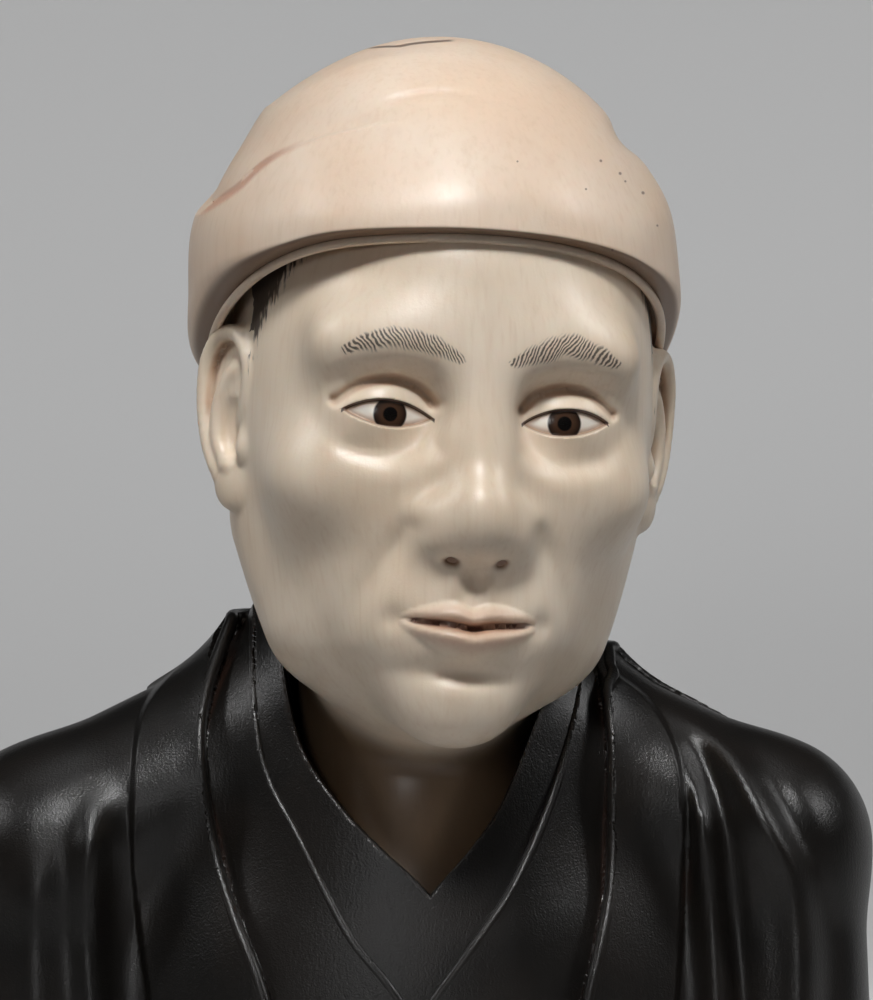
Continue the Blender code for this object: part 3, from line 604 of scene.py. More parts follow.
def places(thing):
    """The places of a piece's vertices."""
    flat = np.empty(len(thing.data.vertices) * 3)
    thing.data.vertices.foreach_get("co", flat)
    return flat.reshape(-1, 3)


def slope_of(form, p, here):
    """How a form's distance changes along each axis."""
    return np.column_stack([form(p + e) - here for e in np.eye(3) * PROBE]) / PROBE


def settle(thing, form, steps, reach):
    """Carve: move each vertex, by a few short steps, onto the surface where the form's distance is zero."""
    p = places(thing)
    for _ in range(steps):
        here = form(p)
        slope = slope_of(form, p, here)
        pull = slope * (here / np.maximum((slope**2).sum(axis=1), 0.3))[:, None]
        length = np.linalg.norm(pull, axis=1)
        p = p - pull * np.minimum(1, reach / np.maximum(length, 1e-12))[:, None]
    thing.data.vertices.foreach_set("co", p.ravel())
    thing.data.update()


def edit(thing, change):
    """Run a change on a piece's mesh as a bmesh."""
    shape = bmesh.new()
    shape.from_mesh(thing.data)
    change(shape)
    shape.to_mesh(thing.data)
    shape.free()
    thing.data.update()


def relax(thing):
    """Even out the spacing of the vertices."""
    def smooth(shape):
        bmesh.ops.smooth_vert(shape, verts=shape.verts, factor=0.5,
                              use_axis_x=True, use_axis_y=True, use_axis_z=True)
    edit(thing, smooth)


def refine(thing, wanted):
    """Halve the faces whose middles are wanted."""
    def halve(shape):
        middles = np.array([face.calc_center_median() for face in shape.faces])
        chosen = wanted(middles)
        shape.faces.ensure_lookup_table()
        edges = {edge for i in np.flatnonzero(chosen) for edge in shape.faces[i].edges}
        bmesh.ops.subdivide_edges(shape, edges=list(edges), cuts=1, use_grid_fill=True)
    edit(thing, halve)


def sculpt(thing, form, grain, wanted):
    """Carve a piece to its form, roughly and then finely, with finer faces at each of the wanted places."""
    gather(thing, ROUGH_GRAIN)
    settle(thing, form, 5, ROUGH_GRAIN * 2)
    for _ in range(2):
        gather(thing, grain)
        settle(thing, form, 3, grain)
    for chosen in wanted:
        refine(thing, chosen)
    relax(thing)
    settle(thing, form, 3, grain)


def keep_values(thing, name, values):
    """Store one number for each vertex, for the piece's material."""
    thing.data.attributes.new(name, "FLOAT", "POINT").data.foreach_set("value", values)


def evened(thing, values):
    """The same numbers, averaged a little with those of the vertices around."""
    ends = np.empty(len(thing.data.edges) * 2, int)
    thing.data.edges.foreach_get("vertices", ends)
    a, b = ends.reshape(-1, 2).T
    many = len(values)
    shared = 1 + np.bincount(a, minlength=many) + np.bincount(b, minlength=many)
    for _ in range(3):
        around = np.bincount(a, values[b], many) + np.bincount(b, values[a], many)
        values = (values + around) / shared
    return values


def finish_surface(thing, form):
    """Smooth shading from the form itself, and how deep in a hollow or out on an edge each vertex lies."""
    p = places(thing)
    here = form(p)
    slope = slope_of(form, p, here)
    normals = slope / np.maximum(np.linalg.norm(slope, axis=1), 1e-9)[:, None]
    thing.data.shade_smooth()
    corners = np.empty(len(thing.data.loops), int)
    thing.data.loops.foreach_get("vertex_index", corners)
    sides = np.empty(len(thing.data.polygons), int)
    thing.data.polygons.foreach_get("loop_total", sides)
    flat = np.empty(len(thing.data.polygons) * 3)
    thing.data.polygons.foreach_get("normal", flat)
    flat = np.repeat(flat.reshape(-1, 3), sides, axis=0)
    smooth = normals[corners]
    agree = (flat * smooth).sum(axis=1) > 0.6
    thing.data.normals_split_custom_set(np.where(agree[:, None], smooth, flat))
    for name, depth in (("recess", 0.0011), ("crease", 0.0004)):
        keep_values(thing, name, evened(thing, np.clip(1 - form(p + normals * depth) / depth, 0, 1)))
    # How far out on an edge each vertex lies; the wood paints its edges paler from this, partly wear and
    # partly a painted sheen.
    keep_values(thing, "wear_and_sheen", evened(thing, np.clip(1 + form(p - normals * 0.0004) / 0.0004, 0, 1)))
    return p


def onto_both(p, forms, steps=12):
    """Move points onto the line where two forms' distances are both zero."""
    for _ in range(steps):
        here = forms(p)
        moved = [forms(p + e) for e in np.eye(3) * PROBE]
        a, b = (np.column_stack([(m[i] - here[i]) / PROBE for m in moved]) for i in (0, 1))
        aa, bb, ab = (a * a).sum(axis=1), (b * b).sum(axis=1), (a * b).sum(axis=1)
        free = np.maximum(aa * bb - ab * ab, 0.02)
        pull = a * ((bb * here[0] - ab * here[1]) / free)[:, None]
        pull = pull + b * ((aa * here[1] - ab * here[0]) / free)[:, None]
        length = np.linalg.norm(pull, axis=1)
        p = p - pull * np.minimum(1, 0.0008 / np.maximum(length, 1e-12))[:, None]
    return p


def evenly(p, spacing, closed=False):
    """The same line with its points evenly spaced and lightly smoothed."""
    if closed:
        p = np.vstack([p, p[:1]])
    run = np.concatenate([[0], np.cumsum(np.linalg.norm(np.diff(p, axis=0), axis=1))])
    at = np.linspace(0, run[-1], max(int(run[-1] / spacing), 8))
    p = np.column_stack([np.interp(at, run, p[:, axis]) for axis in range(3)])
    for _ in range(3):
        if closed:
            p = p[:-1]
            p = (np.roll(p, 1, axis=0) + 2 * p + np.roll(p, -1, axis=0)) / 4
            p = np.vstack([p, p[:1]])
        else:
            p[1:-1] = (p[:-2] + 2 * p[1:-1] + p[2:]) / 4
    return p[:-1] if closed else p


def folded_edge(name, p, radius, closed=False):
    """A round edge of cloth along a line."""
    curve = bpy.data.curves.new(name, "CURVE")
    curve.dimensions = "3D"
    curve.bevel_depth = radius
    curve.bevel_resolution = 4
    curve.use_fill_caps = not closed
    spline = curve.splines.new("POLY")
    spline.points.add(len(p) - 1)
    spline.points.foreach_set("co", np.column_stack([p, np.ones(len(p))]).ravel())
    spline.use_cyclic_u = closed
    made = bpy.data.objects.new(name, curve)
    bpy.context.scene.collection.objects.link(made)
    bpy.context.view_layer.update()
    mesh = bpy.data.meshes.new_from_object(made.evaluated_get(bpy.context.evaluated_depsgraph_get()))
    bpy.data.objects.remove(made)
    bpy.data.curves.remove(curve)
    mesh.shade_smooth()
    edge = bpy.data.objects.new(name, mesh)
    bpy.context.scene.collection.objects.link(edge)
    return edge


def garment_edge(name, side):
    """The folded edge of one garment, from its lower end at the front up and round to the nape."""
    edges, _, _, radius = GARMENTS[name]
    unit = np.array(ROBE_UNIT)
    turn = 1 if side == "left" else -1

    def forms(p):
        q = p / unit
        surface, cover = garment(q, body_form(q) * ROBE_MEAN_UNIT, name, side)
        return surface + radius * 0.84, cover + radius

    height = np.arange(-2.5, 33.0, 0.4)
    across = along_height(height, edges[side])
    found = np.full(len(height), np.nan)
    for y in np.arange(4, -22, -0.3):
        p = np.column_stack([across, np.full(len(height), y), height]) * unit
        inside = forms(p)[0] < 0
        found[inside] = y
    front = np.column_stack([across, found, height])[~np.isnan(found) & (found > -21.5)]
    angle = np.radians(np.arange(8, 91, 6))
    nape_height = np.full(len(angle), 36.0)
    behind = np.column_stack([-1.7 - turn * 13 * np.cos(angle), 2.5 + 12 * np.sin(angle), nape_height])
    line = np.vstack([front, behind]) * unit
    for _ in range(3):
        line = evenly(onto_both(line, forms), 0.0003)
    line = line[line[:, 2] > -0.0008]
    return folded_edge(f"{name}_{side}_edge", line, radius)


def lining_edge():
    """The round lower edge of the cap's lining."""
    angle = np.radians(np.arange(0, 360, 3))
    local = np.column_stack([17 * np.sin(angle), 2 - 20 * np.cos(angle), 6 + 8 * np.cos(angle)])
    place = np.array(HEAD_PLACE)

    def forms(p):
        dome, hem = cap_surfaces(in_head_space(p))
        cloth = CAP_CLOTH / HEAD_UNIT
        return (dome + LINING_DEPTH * cloth) * HEAD_UNIT, (hem - LINING_DROP) * HEAD_UNIT

    line = local @ place[:3, :3].T + place[:3, 3]
    for _ in range(3):
        line = evenly(onto_both(line, forms), 0.0004, closed=True)
    edge = folded_edge("lining_edge", line, LINING_EDGE, closed=True)
    # The lining's edge takes none of the cap's painted underside shade, lap line or crack.
    for name, value in (("under", -1), ("lap_line", FAR), ("crack", FAR)):
        keep_values(edge, name, np.full(len(edge.data.vertices), float(value)))
    return edge


def cut_out(thing, cutter):
    """Cut one piece's shape out of another, and remove the cutter."""
    boolean = thing.modifiers.new("cut", "BOOLEAN")
    boolean.solver = "MANIFOLD"
    boolean.object = cutter
    keep_modified(thing)
    bpy.data.objects.remove(cutter)


# The brow as (x, z) and the hairline as (z, y).
BROW = ((1.9, 4.3), (4.6, 5.4), (7.6, 5.7), (10.4, 4.7))
HAIRLINE = ((15.0, -11.5), (12.0, -10.0), (9.0, -8.0), (6.0, -6.2), (3.0, -5.0), (-2.0, -4.0))


def mark_face(head, p):
    """Store the distances that the painted features are drawn by, in head units."""
    x, y, z = np.abs(p[:, 0]), p[:, 1], p[:, 2]
    front = y < -8
    keep_values(head, "opening", np.where(front, eye_opening(x, z), FAR))
    keep_values(head, "iris", np.where(front, np.hypot(x - EYE[0] + 0.12, z - EYE[2]), FAR))
    over = past_lid(x, z, UPPER_LID_RISE)
    on_lid = front & (np.abs(x - EYE[0]) < EYE_WIDTH / 2 + 0.15) & (z > -1.6)
    keep_values(head, "lash", np.where(on_lid, np.abs(over + 0.02), FAR))
    line = smooth_line(BROW, 12)
    near = np.hypot(x[:, None] - line[None, :, 0], z[:, None] - line[None, :, 1])
    nearest = near.argmin(axis=1)
    along = (x - BROW[0][0]) / (BROW[-1][0] - BROW[0][0])
    keep_values(head, "brow_across", np.where(front, z - line[nearest, 1], FAR))
    keep_values(head, "brow_along", along)
    thickness = 0.35 + 0.55 * np.sin(np.pi * np.clip(along, 0, 1)) ** 0.7
    keep_values(head, "brow_away", np.where(front, near.min(axis=1) / thickness, FAR))
    away, taper, upper_lip, lower_lip = lips(x, z)
    across = np.where(away > 0, upper_lip, lower_lip)
    keep_values(head, "lip", np.where(front, taper ** 0.4 * (1 - step(across, 0.75, 1.25)), 0))
    keep_values(head, "mouth_line", np.where(front, np.abs(away) + 0.4 * step(x, 4.0, 5.6), FAR))
    hairline = along_height(z, tuple((edge, height) for height, edge in HAIRLINE))
    beside_ear = np.where((y < EAR_PLACE[1] - 0.6) | (z > 6.0), FAR, -3)
    temple = np.minimum(np.minimum(y - hairline, z + 1.8), beside_ear)
    nape = np.minimum(y - 7.5, z + 10.0 + 0.25 * (y - 8))
    keep_values(head, "hair", np.where((x < 15.6) | (y < -4), np.maximum(temple, nape), -3))


def make_head():
    shape = bmesh.new()
    add_ball(shape, HEAD_PLACE, (0, 1.6, 4.5), (16.2, 19.6, 20.5))
    add_ball(shape, HEAD_PLACE, (0, -4.0, -5.0), (14.6, 14.6, 17.0))
    add_ball(shape, HEAD_PLACE, (0, -6.0, -14.0), (11.0, 11.5, 11.0))
    add_ball(shape, HEAD_PLACE, (0, -13.0, -20.0), (5.5, 4.6, 5.0))
    add_ball(shape, HEAD_PLACE, (0, -12.4, -14.9), (7.6, 6.5, 5.4))
    add_rod(shape, HEAD_PLACE, (0, -16.0, 4.0), (0, -20.0, -8.5), 2.2)
    for side in (-1, 1):
        plate = Matrix.LocRotScale(Vector((side * EAR_PLACE[0], *EAR_PLACE[1:])),
                                   Euler((0, 0, -side * math.radians(EAR_LEAN))), None)
        add_ball(shape, HEAD_PLACE @ plate, (0, 3.5, 0.6), (1.8, 5.4, 8.2))
    add_rod(shape, Matrix(), NECK_ROOT, NECK_TOP, NECK_RADIUS)

    def features(middles):
        p = in_head_space(middles)
        x, y, z = np.abs(p[:, 0]), p[:, 1], p[:, 2]
        eye = (np.abs(x - 6.8) < 4.6) & (np.abs(z - 0.6) < 3.2)
        mouth_and_nose = (x < 6.6) & (z > -18) & (z < -7)
        return ((y < -10) & (eye | mouth_and_nose)) | ((x > 13.6) & (y > -6) & (y < 6) & (np.abs(z + 1) < 9))

    def lids(middles):
        p = in_head_space(middles)
        x, z = np.abs(p[:, 0]), p[:, 2]
        return (p[:, 1] < -10) & (np.abs(x - 6.8) < 4.1) & (np.abs(z - 0.2) < 1.8)

    head = new_piece("head_piece", shape)
    sculpt(head, head_and_neck_form, HEAD_GRAIN, (features, lids))
    p = finish_surface(head, head_and_neck_form)
    local = in_head_space(p)
    # Where the throat lies under the jaw: the material darkens it there as painted shade of the chin, with
    # some real brown stain.
    below_jaw = (head_form(local) * HEAD_UNIT - neck_form(p)) / NECK_FILLET
    keep_values(head, "throat", step(below_jaw, -0.9, 0.6) * (1 - step(p[:, 1], 0.0, 0.006)))
    mark_face(head, local)
    return head


def make_cap():
    shape = bmesh.new()
    add_ball(shape, Matrix(), CAP_CENTRE, CAP_RADII)
    cut_flat(shape, Vector((0, 0, CAP_FOOT)), CAP_SLANT)
    cap = new_piece("cap_piece", shape)
    shape = bmesh.new()
    inner = [r - CAP_LAYERS * CAP_CLOTH / HEAD_UNIT for r in CAP_RADII]
    add_ball(shape, Matrix(), CAP_CENTRE, inner)
    cut_flat(shape, Vector((0, 0, CAP_FOOT + CAP_HOLLOW)), -CAP_SLANT)
    cut_out(cap, new_piece("cap_hollow", shape))
    cap.data.transform(HEAD_PLACE)

    def near_hem(middles):
        p = in_head_space(middles)
        _, hem = cap_surfaces(p)
        return (np.abs(hem + 0.2) < 0.9) & (p[:, 1] < 6)

    sculpt(cap, cap_form, CAP_GRAIN, (near_hem, near_hem))
    p = in_head_space(finish_surface(cap, cap_form))
    _, hem = cap_surfaces(p)
    # How far each point lies round under the rolled hem, for the painted shade there.
    keep_values(cap, "under", np.clip(hem / hem_roll(p[:, 1]), -2, 1))
    keep_values(cap, "lap_line", p[:, 2] - along_width(p[:, 0], SIDE_FOLD))
    keep_values(cap, "crack", p[:, 2] - along_width(p[:, 0], CROWN_CRACK))
    return cap


def neckline_wedge():
    """The wedge of chest that the collars leave bare, from the front back to the neck."""
    shape = bmesh.new()
    top, spacing = 42.0, 0.4
    height = np.arange(top, WEDGE_APEX, -spacing)
    left = [(along_height(z, NECKLINE["left"]), z) for z in height]
    right = [(along_height(z, NECKLINE["right"]), z) for z in height]
    outline = left + [(-0.4, WEDGE_APEX)] + right[::-1]
    face = shape.faces.new([shape.verts.new(ROBE_PLACE @ Vector((x, WEDGE_FRONT, z))) for x, z in outline])
    made = bmesh.ops.extrude_face_region(shape, geom=[face])
    moved = [item for item in made["geom"] if isinstance(item, bmesh.types.BMVert)]
    bmesh.ops.translate(shape, vec=Vector((0, (WEDGE_DEPTH - WEDGE_FRONT) * ROBE_UNIT[1], 0)), verts=moved)
    bmesh.ops.recalc_face_normals(shape, faces=shape.faces)
    return new_piece("wedge", shape)


def make_robe():
    shape = bmesh.new()
    add_ball(shape, ROBE_PLACE, (-1.5, 1.5, -4), (30, 17.5, 30))
    add_ball(shape, ROBE_PLACE, (-1.5, 7, 14), (21, 13, 18))
    add_ball(shape, ROBE_PLACE, (-1.5, -5, 7), (19, 11.5, 19))
    add_rod(shape, ROBE_PLACE, (-1.8, 2.2, 10), (-1.6, 0.4, 36), 13.0)
    for shoulder, elbow in (((6, 1, 26.3), (25.5, 0, 17.4)), ((-8, 1, 27.4), (-30, 0, 16.6))):
        add_rod(shape, ROBE_PLACE, shoulder, elbow, 8.3)
        add_ball(shape, ROBE_PLACE, elbow, (8.3, 10.3, 8.3))
        add_rod(shape, ROBE_PLACE, elbow, (elbow[0], -2, -8), 8.3)
    robe = new_piece("robe_piece", shape)
    gather(robe, ROUGH_GRAIN)
    edit(robe, lambda shape: cut_flat(shape, Vector((0, 0, ROBE_FOOT)), Vector((0, 0, 1))))

    def edges(middles):
        q = middles / np.array(ROBE_UNIT)
        near = np.zeros(len(q), bool)
        for lines, wide in ((NECKLINE, 0.5), (KIMONO_EDGE, 1.2), (HAORI_EDGE, 1.2), (BAND_SEAM, 0.6)):
            for side in ("left", "right"):
                near |= np.abs(q[:, 0] - along_height(q[:, 2], lines[side])) < wide
        return near & (q[:, 1] < 3) & (q[:, 2] > -0.5)

    sculpt(robe, robe_form, ROBE_GRAIN, (edges,))
    edit(robe, lambda shape: cut_flat(shape, Vector((0, 0, 0)), Vector((0, 0, 1))))
    cut_out(robe, neckline_wedge())
    shape = bmesh.new()
    add_rod(shape, Matrix(), *NECK_ROOM, NECK_RADIUS + COLLAR_GAP)
    cut_out(robe, new_piece("neck_room", shape))
    finish_surface(robe, robe_with_neckline)
    return robe


# Materials.
class Value:
    """A socket inside a material, so that shader maths reads as ordinary expressions."""

    def __init__(self, finish, socket):
        self.finish = finish
        self.socket = socket

    def maths(self, operation, *values):
        return self.finish.node("ShaderNodeMath", {"operation": operation}, values)

    def __add__(self, other):
        return self.maths("ADD", self, other)

    def __radd__(self, other):
        return self.maths("ADD", other, self)

    def __sub__(self, other):
        return self.maths("SUBTRACT", self, other)

    def __mul__(self, other):
        return self.maths("MULTIPLY", self, other)

    def __abs__(self):
        return self.maths("ABSOLUTE", self)

    def fraction(self):
        return self.maths("FRACT", self)

    def rise(self, low, high):
        """0 up to low, 1 from high on, and a smooth rise between them; falling if low is the larger."""
        return self.finish.node("ShaderNodeMapRange", {"interpolation_type": "SMOOTHSTEP"},
                                {"Value": self, "From Min": low, "From Max": high})


class Finish:
    """A Principled material and the nodes that vary it."""

    def __init__(self, name):
        self.material = bpy.data.materials.new(name)
        self.material.use_nodes = True
        self.tree = self.material.node_tree
        self.shader = self.tree.nodes["Principled BSDF"]

    def node(self, kind, settings, inputs, output=0):
        made = self.tree.nodes.new(kind)
        for name, value in settings.items():
            setattr(made, name, value)
        pairs = inputs.items() if isinstance(inputs, dict) else enumerate(inputs)
        for key, value in pairs:
            if isinstance(value, Value):
                self.tree.links.new(value.socket, made.inputs[key])
            else:
                made.inputs[key].default_value = value
        return Value(self, made.outputs[output])

    def attribute(self, name):
        return self.node("ShaderNodeAttribute", {"attribute_name": name}, {}, "Fac")

    def where(self):
        """The piece's own coordinates, in metres."""
        return self.node("ShaderNodeTexCoord", {}, {}, "Object")

    def stretched(self, vector, scale):
        return self.node("ShaderNodeVectorMath", {"operation": "MULTIPLY"}, [vector, scale])

    def noise(self, vector, scale, detail=2.0, roughness=0.5):
        return self.node("ShaderNodeTexNoise", {}, {"Vector": vector, "Scale": scale, "Detail": detail,
                                                    "Roughness": roughness}, "Fac")

    def split(self, vector):
        return [self.node("ShaderNodeSeparateXYZ", {}, [vector], axis) for axis in range(3)]

    def mix(self, share, first, second):
        """A colour between two others."""
        made = self.tree.nodes.new("ShaderNodeMix")
        made.data_type = "RGBA"
        for key, value in ((0, share), (6, first), (7, second)):
            if isinstance(value, Value):
                self.tree.links.new(value.socket, made.inputs[key])
            else:
                made.inputs[key].default_value = value if key == 0 else (*value, 1)
        return Value(self, made.outputs[2])

    def set(self, **inputs):
        for name, value in inputs.items():
            socket = self.shader.inputs[name.replace("_", " ")]
            if isinstance(value, Value):
                self.tree.links.new(value.socket, socket)
            else:
                socket.default_value = value

    def bump(self, height, distance):
        bumped = self.node("ShaderNodeBump", {}, {"Height": height, "Distance": distance, "Strength": 1.0})
        self.tree.links.new(bumped.socket, self.shader.inputs["Normal"])


def srgb(red, green, blue):
    """A colour as read off a screen, turned into the shader's own numbers."""
    shares = (red / 255, green / 255, blue / 255)
    return tuple(v / 12.92 if v <= 0.04 else ((v + 0.055) / 1.055) ** 2.4 for v in shares)


def ivory(name, pale, warm):
    """Polished ivory: its colour, with grain and the stain in its recesses, and its finish."""
    finish = Finish(name)
    where = finish.where()
    fine_lines = finish.noise(finish.stretched(where, (1, 1, 0.05)), 2400, 3)
    wide_lines = finish.noise(finish.stretched(where, (1, 1, 0.08)), 700, 2)
    broad = finish.noise(where, 90, 2)
    recess = finish.attribute("recess")
    crease = finish.attribute("crease")
    colour = finish.mix(broad.rise(0.3, 0.75), pale, warm)
    colour = finish.mix(fine_lines.rise(0.45, 0.80) * 0.20, colour, srgb(206, 174, 140))
    colour = finish.mix(wide_lines.rise(0.45, 0.75) * 0.12, colour, srgb(210, 176, 144))
    colour = finish.mix(recess.rise(0.25, 0.9) * 0.60, colour, srgb(172, 124, 86))
    colour = finish.mix(crease.rise(0.35, 0.95) * 0.75, colour, srgb(104, 62, 38))
    finish.set(Roughness=0.34 + broad * 0.10)
    finish.set(Subsurface_Weight=0.12, Subsurface_Scale=0.0012, Subsurface_Radius=(1.0, 0.6, 0.4), IOR=1.54)
    finish.bump(fine_lines * 0.6 + finish.noise(where, 5000, 2) * 0.4, 0.00002)
    return finish, where, colour


def cap_finish():
    """The cap's ivory, with painted shade under its rolled hem (partly a real brown stain), the cracks by its
    folds and the dark specks.
    """
    finish, where, colour = ivory("cap_ivory", srgb(239, 219, 199), srgb(233, 206, 181))
    across, depth, _ = finish.split(where)
    # Painted shade: the underside of the rolled hem turns dark brown, mostly its shadow and partly a real
    # stain.
    colour = finish.mix(finish.attribute("under").rise(-0.60, -0.25) * 0.85, colour, srgb(112, 80, 54))
    lap_line = abs(finish.attribute("lap_line") - 0.1).rise(0.42, 0.02) * across.rise(-0.0095, -0.0130)
    lap_line = lap_line * depth.rise(-0.0090, -0.0120)
    colour = finish.mix(lap_line * 0.55, colour, srgb(188, 116, 88))
    crack = abs(finish.attribute("crack")).rise(0.16, 0.05) * across.rise(0.0016, 0.0008)
    crack = crack * across.rise(-0.0056, -0.0048) * depth.rise(-0.0030, -0.0050)
    colour = finish.mix(crack * 0.8, colour, srgb(84, 64, 56))
    seen_from_front = finish.stretched(where, (1, 0, 1))
    for x, z, radius in SPECKS:
        away = finish.node("ShaderNodeVectorMath", {"operation": "DISTANCE"},
                           [seen_from_front, (x, 0, z)], "Value")
        colour = finish.mix(away.rise(radius * 1.5, radius * 0.6) * 0.75, colour, srgb(96, 66, 48))
    finish.set(Base_Color=colour)
    return finish


def face_finish():
    """The head's ivory, with the eyes, brows, lips and hair painted on it, and painted shade darkening the
    throat under the jaw.
    """
    finish, where, colour = ivory("face_ivory", srgb(240, 223, 202), srgb(233, 212, 187))
    # Painted shade: the throat under the jaw turns deep brown, mostly the chin's shadow and partly a real
    # brown stain.
    colour = finish.mix(finish.attribute("throat") * 0.93, colour, srgb(92, 68, 44))
    hair_colour = srgb(52, 41, 36)
    strokes = finish.noise(finish.stretched(where, (1.0, 0.35, 0.10)), 4200, 3)
    lip = finish.attribute("lip")
    colour = finish.mix(lip * 0.30, colour, srgb(196, 132, 106))
    mouth_line = finish.attribute("mouth_line")
    colour = finish.mix(mouth_line.rise(0.34, 0.14) * 0.92, colour, srgb(88, 48, 35))
    hair = finish.attribute("hair") + (strokes - 0.5) * 5.0
    colour = finish.mix(hair.rise(0.0, 1.0) * 0.93, colour, hair_colour)
    opening = finish.attribute("opening")
    iris = finish.attribute("iris")
    in_eye = opening.rise(0.02, -0.08)
    # The eyeball darkens towards the lids: painted shade of the lids on the eye.
    shaded_eye_white = finish.mix(opening.rise(-0.05, -0.6), srgb(190, 160, 136), srgb(240, 231, 219))
    ring = iris.rise(1.36, 1.20)
    iris_colour = finish.mix(iris.rise(0.6, 1.3), srgb(74, 52, 38), srgb(34, 25, 20))
    eye = finish.mix(ring, shaded_eye_white, iris_colour)
    eye = finish.mix(iris.rise(0.62, 0.48), eye, srgb(12, 10, 9))
    colour = finish.mix(in_eye, colour, eye)
    lash = finish.attribute("lash").rise(0.17, 0.07)
    colour = finish.mix(lash * 0.92, colour, srgb(40, 29, 24))
    lower = abs(opening).rise(0.12, 0.02) * 0.45
    colour = finish.mix(lower, colour, srgb(110, 72, 52))
    along = finish.attribute("brow_along")
    across = finish.attribute("brow_across")
    stray = finish.noise(where, 700, 3)
    phase = along * 27 - across * 2.2 + stray * 3.2
    hairs = abs(phase.fraction() - 0.5).rise(0.14, 0.36)
    brow = (finish.attribute("brow_away") + stray * 1.4).rise(1.85, 1.25) * hairs
    colour = finish.mix(brow * 0.88, colour, srgb(50, 38, 32))
    finish.set(Base_Color=colour)
    wet = in_eye * -0.16
    finish.set(Roughness=0.36 + wet)
    return finish


def dark_wood():
    """Near-black wood with fine pores, browner in its recesses, and paler along its edges, partly from wear
    and partly as a painted sheen.
    """
    finish = Finish("dark_wood")
    where = finish.where()
    pores = finish.noise(finish.stretched(where, (1, 1, 0.25)), 3600, 3)
    speckle = finish.noise(where, 6500, 2, 0.6)
    broad = finish.noise(where, 130, 3)
    recess = finish.attribute("recess")
    wear_and_sheen = finish.attribute("wear_and_sheen")
    colour = finish.mix(broad.rise(0.35, 0.7), srgb(14, 12, 10), srgb(23, 19, 16))
    colour = finish.mix(recess.rise(0.5, 1.0) * 0.45, colour, srgb(50, 32, 24))
    # Paler along the edges: partly wear, partly a painted sheen standing in for the glints on the edges.
    colour = finish.mix(wear_and_sheen.rise(0.3, 0.85) * 0.35, colour, srgb(70, 60, 54))
    finish.set(Base_Color=colour, Roughness=0.26 + speckle * 0.16, IOR=1.5)
    finish.bump(speckle * 0.8 + pores * 0.5, 0.00004)
    return finish


def dress(thing, finish, slot, *nodes):
    """Give a piece its material and the solids that it stands for; the slot is not used."""
    thing.data.materials.clear()
    thing.data.materials.append(finish.material)
    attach(thing, "root")
    if nodes:
        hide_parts(*nodes)


cap_ivory = cap_finish()
wood = dark_wood()
dress(make_head(), face_finish(), "ivory", "head")
dress(make_cap(), cap_ivory, "ivory")
dress(lining_edge(), cap_ivory, "ivory")
dress(make_robe(), wood, "dark_wood", "robe")
for garment_name in GARMENTS:
    for side_name in ("left", "right"):
        dress(garment_edge(garment_name, side_name), wood, "dark_wood")


# The studio: a pale sweep, a key light from above the front, weaker lights from the front and both sides,
# and one light for the backdrop.
def make_sweep():
    """Floor and backdrop in one bent sheet, low enough to look over from behind."""
    shape = bmesh.new()
    wide = 1.6
    front, bend_start, bend_radius, top = -1.2, 0.10, 0.25, 0.115
    bend = math.acos(1 - top / bend_radius)
    profile = [Vector((-wide, front, 0))]
    for angle in np.linspace(0, bend, 17):
        back, up = math.sin(angle), 1 - math.cos(angle)
        profile.append(Vector((-wide, bend_start + bend_radius * back, bend_radius * up)))
    verts = [shape.verts.new(point) for point in profile]
    edges = [shape.edges.new(pair) for pair in zip(verts[:-1], verts[1:])]
    made = bmesh.ops.extrude_edge_only(shape, edges=edges)
    moved = [item for item in made["geom"] if isinstance(item, bmesh.types.BMVert)]
    bmesh.ops.translate(shape, vec=Vector((2 * wide, 0, 0)), verts=moved)
    bmesh.ops.recalc_face_normals(shape, faces=shape.faces)
    sweep = new_piece("sweep", shape)
    sweep.data.shade_smooth()
    paper = Finish("pale_paper")
    paper.set(Base_Color=(*srgb(215, 215, 215), 1), Roughness=0.9)
    sweep.data.materials.append(paper.material)


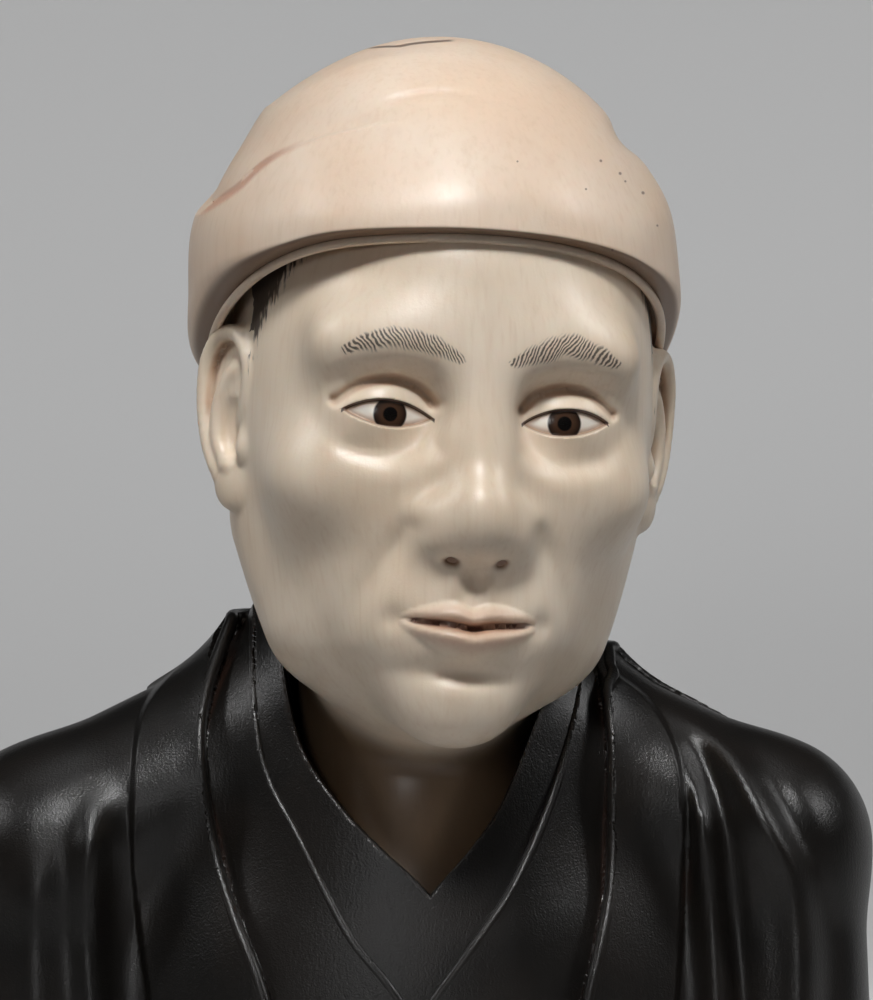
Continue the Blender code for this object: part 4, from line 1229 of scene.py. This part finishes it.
def add_light(name, place, aim, size, power, spread):
    """A rectangular light with its size in metres, its power in watts and its spread in degrees."""
    lamp = bpy.data.lights.new(name, "AREA")
    lamp.shape = "RECTANGLE"
    lamp.size, lamp.size_y = size
    lamp.energy = power
    lamp.spread = math.radians(spread)
    made = bpy.data.objects.new(name, lamp)
    bpy.context.scene.collection.objects.link(made)
    made.location = place
    made.rotation_euler = (Vector(aim) - Vector(place)).to_track_quat("-Z", "Y").to_euler()


make_sweep()
add_light("key_light", (0.00, -0.41, 0.56), (0, -0.01, 0.058), (0.13, 0.11), 0.043, 16)
add_light("front_light", (-0.14, -0.75, 0.17), (0, 0, 0.035), (0.08, 0.16), 0.007, 20)
add_light("left_light", (-0.45, -0.05, 0.40), (0, 0, 0.055), (0.10, 0.20), 0.014, 20)
add_light("right_light", (0.45, -0.05, 0.40), (0, 0, 0.055), (0.10, 0.20), 0.018, 20)
add_light("backdrop_light", (0.0, 0.12, 0.6), (0, 0.30, 0.04), (0.8, 0.2), 0.62, 70)

world = bpy.data.worlds.new("studio")
world.use_nodes = True
world.node_tree.nodes["Background"].inputs["Color"].default_value = (0.9, 0.95, 1.0, 1)
world.node_tree.nodes["Background"].inputs["Strength"].default_value = 0.02
bpy.context.scene.world = world
bpy.context.scene.view_settings.view_transform = "Standard"

# The camera is level. At the face, its frame is 1000 picture lines high at 13 lines to the millimetre.
CAMERA_DISTANCE = 0.56
FACE_FORWARD = 0.012
SENSOR_HEIGHT = 24
FRAME_HEIGHT = 1000 / 13000
FRAME_CENTRE_HEIGHT = 0.0445
camera = bpy.data.objects.new("camera", bpy.data.cameras.new("camera"))
camera.data.sensor_fit = "VERTICAL"
camera.data.sensor_height = SENSOR_HEIGHT
camera.data.lens = SENSOR_HEIGHT * (CAMERA_DISTANCE - FACE_FORWARD) / FRAME_HEIGHT
camera.location = (0, -CAMERA_DISTANCE, FRAME_CENTRE_HEIGHT)
camera.rotation_euler = (math.radians(90), 0, 0)
bpy.context.scene.collection.objects.link(camera)
bpy.context.scene.camera = camera
